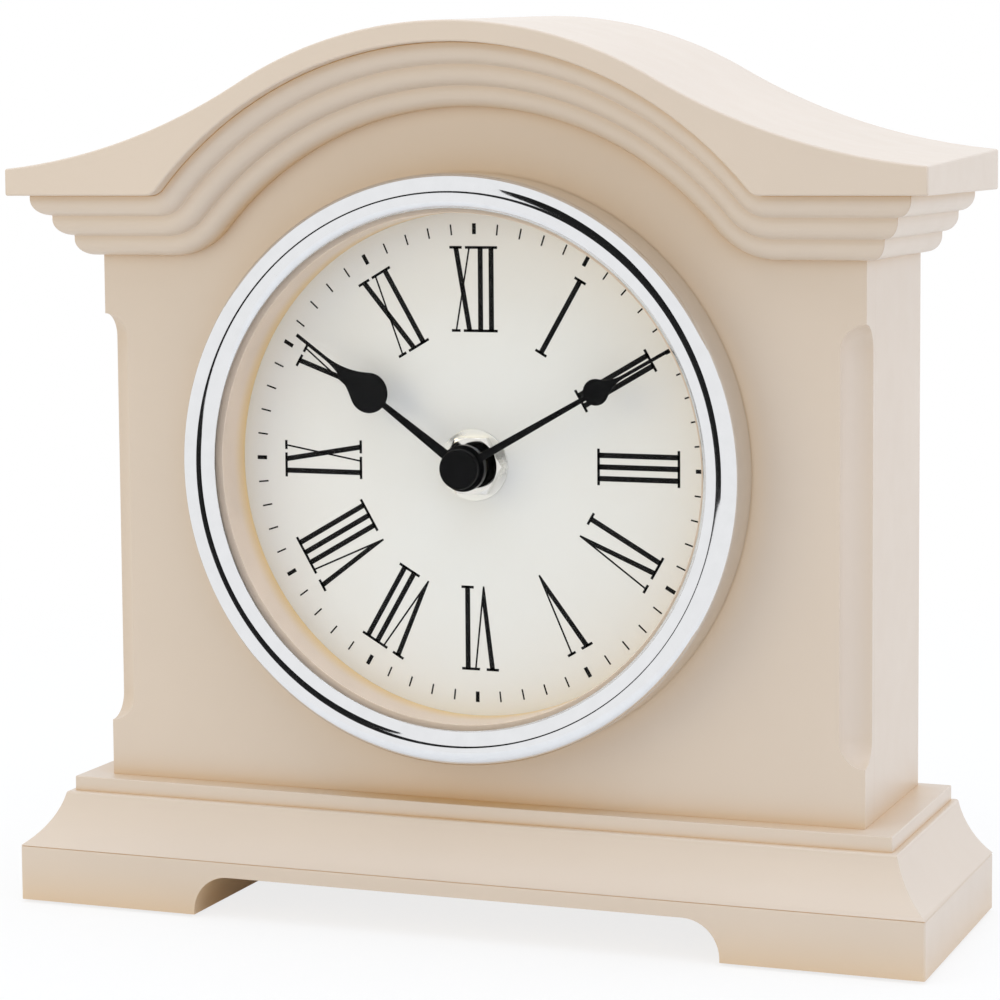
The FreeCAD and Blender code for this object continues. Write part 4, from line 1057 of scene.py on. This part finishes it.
class CLOCK_OT_back(Operator):
    """Finish the back panel, the door, its hinges and its catch"""

    bl_idname = "clock.back"
    bl_label = "Back"

    HEAD_RINGS = 22
    HEAD_STEPS = 72
    # Shares of a screw head's radius
    RISE_SHARE = 0.45
    DOME_SHARE = 0.96
    CROSS_REACH = 0.68
    NECK_SHARE = 0.5
    TIP_SHARE = 0.45
    # Share of a screw head's rise
    CROSS_DEPTH = 0.9

    def execute(self, context):
        paint = context.scene.clock_paint
        hands = context.scene.clock_hands
        steel = bpy.data.materials["bright_steel"]
        # The back paint carries the same painted shade in its recesses
        board = paint_surface("back_paint", paint.back, paint, 0.6, paint.grain * 0.8)
        dressed(["back_panel", "back_door"], board, 0.35 * MM)
        wood = wood_surface("bare_softwood", paint.wood)
        dressed(["back_battens", "door_stop"], wood, 0.3 * MM)
        brass = metal_surface("hinge_brass", hands.brass, 0.2, 0.008 * MM)
        dressed(["hinge_leaves_case", "hinge_leaves_door", "hinge_pins"], brass, 0.12 * MM)
        dressed(["door_knob"], brass, 0.0, 50)
        dressed(["door_magnet", "strike_plate", "knob_screw"], steel, 0.1 * MM)
        self.screws("back_screws", "back_screw_heads", "case", steel, "steel")
        self.screws("hinge_screws", "hinge_screw_heads", "case", brass, "brass")
        self.screws("door_hinge_screws", "door_screw_heads", "back_door", brass, "brass")
        return {"FINISHED"}

    def screws(self, node, name, body, material, slot):
        """Cross-headed screws where a node has its screws."""
        cross = bpy.context.scene.clock_movement.cross_width
        points = []
        faces = []
        for low, high in islands(node):
            self.head(points, faces, low, high, cross)
        piece = piece_from(name, points, faces, material, body, [node])
        smoothed(piece)

    def head(self, points, faces, low, high, cross):
        """One domed head with a cross recess, as rings that dip inside the cross."""
        radius = (high.x - low.x) / 2
        rise = radius * self.RISE_SHARE
        foot = high.y - rise
        rings = []
        for ring in range(self.HEAD_RINGS + 1):
            out = radius * ring / self.HEAD_RINGS
            dome = rise * (1 - math.sqrt(max(0.0, 1 - (out / radius) ** 2 * self.DOME_SHARE)))
            rings.append((out, high.y - dome, out < radius * self.CROSS_REACH))
        rings += [
            (radius, foot, False),
            (radius * self.NECK_SHARE, foot, False),
            (radius * self.TIP_SHARE, low.y, False),
        ]
        first = len(points)
        steps = self.HEAD_STEPS
        for out, y, dips in rings:
            for step in range(steps):
                angle = math.tau * step / steps
                x = out * math.cos(angle)
                z = out * math.sin(angle)
                inside = dips and min(abs(x), abs(z)) < cross / 2
                floor = rise * self.CROSS_DEPTH if inside else 0
                points.append(
                    Vector(((low.x + high.x) / 2 + x, y - floor, (low.z + high.z) / 2 + z))
                )
        faces += ring_faces(first, steps, len(rings))
        last = first + (len(rings) - 1) * steps
        faces.append(tuple(range(last, last + steps)))


class CLOCK_OT_stage(Operator):
    """Set the floor, the lamps, the white surroundings and the camera"""

    bl_idname = "clock.stage"
    bl_label = "Stage"

    EYE = (0.2950, -0.7702, 0.2078)
    SHIFT = (0.0114, -0.0815)
    CARD_PLACE = -0.936
    CARD_OUTLINE = (
        (-0.42, 0.001), (-0.10, 0.001), (-0.07, 0.12), (-0.09, 0.31),
        (-0.18, 0.42), (-0.28, 0.45), (-0.31, 0.15), (-0.40, 0.05),
    )
    FLOOR_HALF = 6.0
    # Glow of the floor: near the clock, further away, and where it rises
    SEEN_GLOW = (0.8, 1, 0.15, 0.6)
    MIRRORED_GLOW = (0.05, 1, 0.1, 0.2)

    def execute(self, context):
        stage = context.scene.clock_stage
        self.floor()
        self.room(stage.room)
        self.lamp("lamp_top", (0, -0.1, 1.3), 1.5, stage.top_power, (0.82, 0.98, 1.23))
        self.lamp("lamp_left", (-1, -1.2, 0.6), 1, stage.left_power, (1.21, 1.03, 0.58))
        self.lamp("lamp_right", (1.3, -0.2, 0.5), 1, stage.right_power, (0.85, 0.98, 1.26))
        self.card("dark_card")
        self.camera(stage)
        context.scene.view_settings.view_transform = "Standard"
        return {"FINISHED"}

    def sheet(self, name, corners, material):
        """A flat face on the stage."""
        data = bpy.data.meshes.new(name)
        data.from_pydata(corners, [], [tuple(range(len(corners)))])
        data.materials.append(material)
        return placed(name, data)

    def floor(self):
        """A pale floor that looks white and keeps the clock's shadow."""
        made = Surface("floor_white")
        made.colour(made.blended(made.noise(0.4), srgb(232, 231, 229), srgb(238, 237, 235)))
        made.set(roughness=0.9)
        glow = made.node("ShaderNodeEmission", {"Color": WHITE})
        reach = made.node("ShaderNodeVectorMath", operation="LENGTH")
        made.join(made.place, reach.inputs[0])
        away = reach.outputs["Value"]
        seen = made.combined(
            "MULTIPLY", made.rays("Is Camera Ray"), made.spread(away, *self.SEEN_GLOW)
        )
        mirrored = made.combined(
            "MULTIPLY",
            made.rays("Is Glossy Ray", "Is Transmission Ray"),
            made.spread(away, *self.MIRRORED_GLOW),
        )
        made.unless(made.combined("MAXIMUM", mirrored, seen), glow.outputs["Emission"])
        half = self.FLOOR_HALF
        corners = [(-half, -half, 0), (half, -half, 0), (half, half, 0), (-half, half, 0)]
        floor = self.sheet("floor", corners, made.material)

    def room(self, strength):
        """White surroundings for sight and reflections, softer light from all sides."""
        world = bpy.data.worlds.new("studio")
        bpy.context.scene.world = world
        world.use_nodes = True
        made = Nodes(world.node_tree)
        made.tree.nodes.clear()
        soft = made.node("ShaderNodeBackground", {"Color": WHITE, "Strength": strength})
        white = made.node("ShaderNodeBackground", {"Color": WHITE, "Strength": 1})
        rays = made.rays("Is Camera Ray", "Is Glossy Ray", "Is Transmission Ray")
        leave = made.node("ShaderNodeOutputWorld")
        made.swapped(
            rays, soft.outputs["Background"], white.outputs["Background"], leave.inputs["Surface"]
        )

    def lamp(self, name, place, size, watts, tint):
        """A soft square lamp aimed at the clock."""
        data = bpy.data.lights.new(name, "AREA")
        assigned(data, shape="SQUARE", size=size, energy=watts, color=tint)
        aim = Vector((0, 0, DIAL_Z)) - Vector(place)
        assigned(
            placed(name, data), location=place,
            rotation_euler=aim.to_track_quat("-Z", "Y").to_euler(),
            visible_camera=False, visible_glossy=False,
        )

    def card(self, name):
        """A black card in front of the clock that only reflections show."""
        made = Surface(name)
        made.colour(made.blended(made.noise(0.1), (0.0, 0.0, 0.0), (0.01, 0.01, 0.01)))
        made.set(roughness=1.0)
        corners = [(x, self.CARD_PLACE, z) for x, z in self.CARD_OUTLINE]
        card = self.sheet(name, corners, made.material)
        assigned(
            card, visible_camera=False, visible_diffuse=False,
            visible_shadow=False, visible_transmission=False,
        )

    def camera(self, stage):
        """The camera at the photograph's place and angle."""
        data = bpy.data.cameras.new("camera")
        shift_x, shift_y = self.SHIFT
        assigned(data, sensor_width=36, lens=stage.lens / MM, shift_x=shift_x, shift_y=shift_y)
        camera = placed("camera", data)
        camera.matrix_world = (
            Matrix.Translation(self.EYE)
            @ Matrix.Rotation(stage.azimuth, 4, "Z")
            @ Matrix.Rotation(math.pi / 2 - stage.elevation, 4, "X")
            @ Matrix.Rotation(stage.roll, 4, "Z")
        )
        bpy.context.scene.camera = camera


OPERATORS = (
    CLOCK_OT_case, CLOCK_OT_bezel, CLOCK_OT_glass, CLOCK_OT_surround, CLOCK_OT_dial,
    CLOCK_OT_numerals, CLOCK_OT_minute_track, CLOCK_OT_centre, CLOCK_OT_hands,
    CLOCK_OT_movement, CLOCK_OT_battery, CLOCK_OT_back, CLOCK_OT_stage,
)


class CLOCK_PT_panel(Panel):
    """Lists the clock's pieces and their settings"""

    bl_idname = "CLOCK_PT_panel"
    bl_label = "Mantel clock"
    bl_space_type = "VIEW_3D"
    bl_region_type = "UI"
    bl_category = "Clock"

    def draw(self, context):
        for name in SETTINGS:
            settings = getattr(context.scene, name)
            box = self.layout.box()
            for key in settings.bl_rna.properties.keys():
                if key not in ("rna_type", "name"):
                    box.prop(settings, key)
        for operator in OPERATORS:
            self.layout.operator(operator.bl_idname)


CLASSES = (*SETTINGS.values(), *OPERATORS, CLOCK_PT_panel)


def register():
    for item in CLASSES:
        bpy.utils.register_class(item)
    for name, settings in SETTINGS.items():
        setattr(bpy.types.Scene, name, PointerProperty(type=settings))


def unregister():
    for name in SETTINGS:
        delattr(bpy.types.Scene, name)
    for item in reversed(CLASSES):
        bpy.utils.unregister_class(item)


def main():
    """Makes every piece in order."""
    register()
    for operator in OPERATORS:
        group, name = operator.bl_idname.split(".")
        getattr(getattr(bpy.ops, group), name)()
    bpy.context.view_layer.update()


if __name__ == "__main__":
    main()
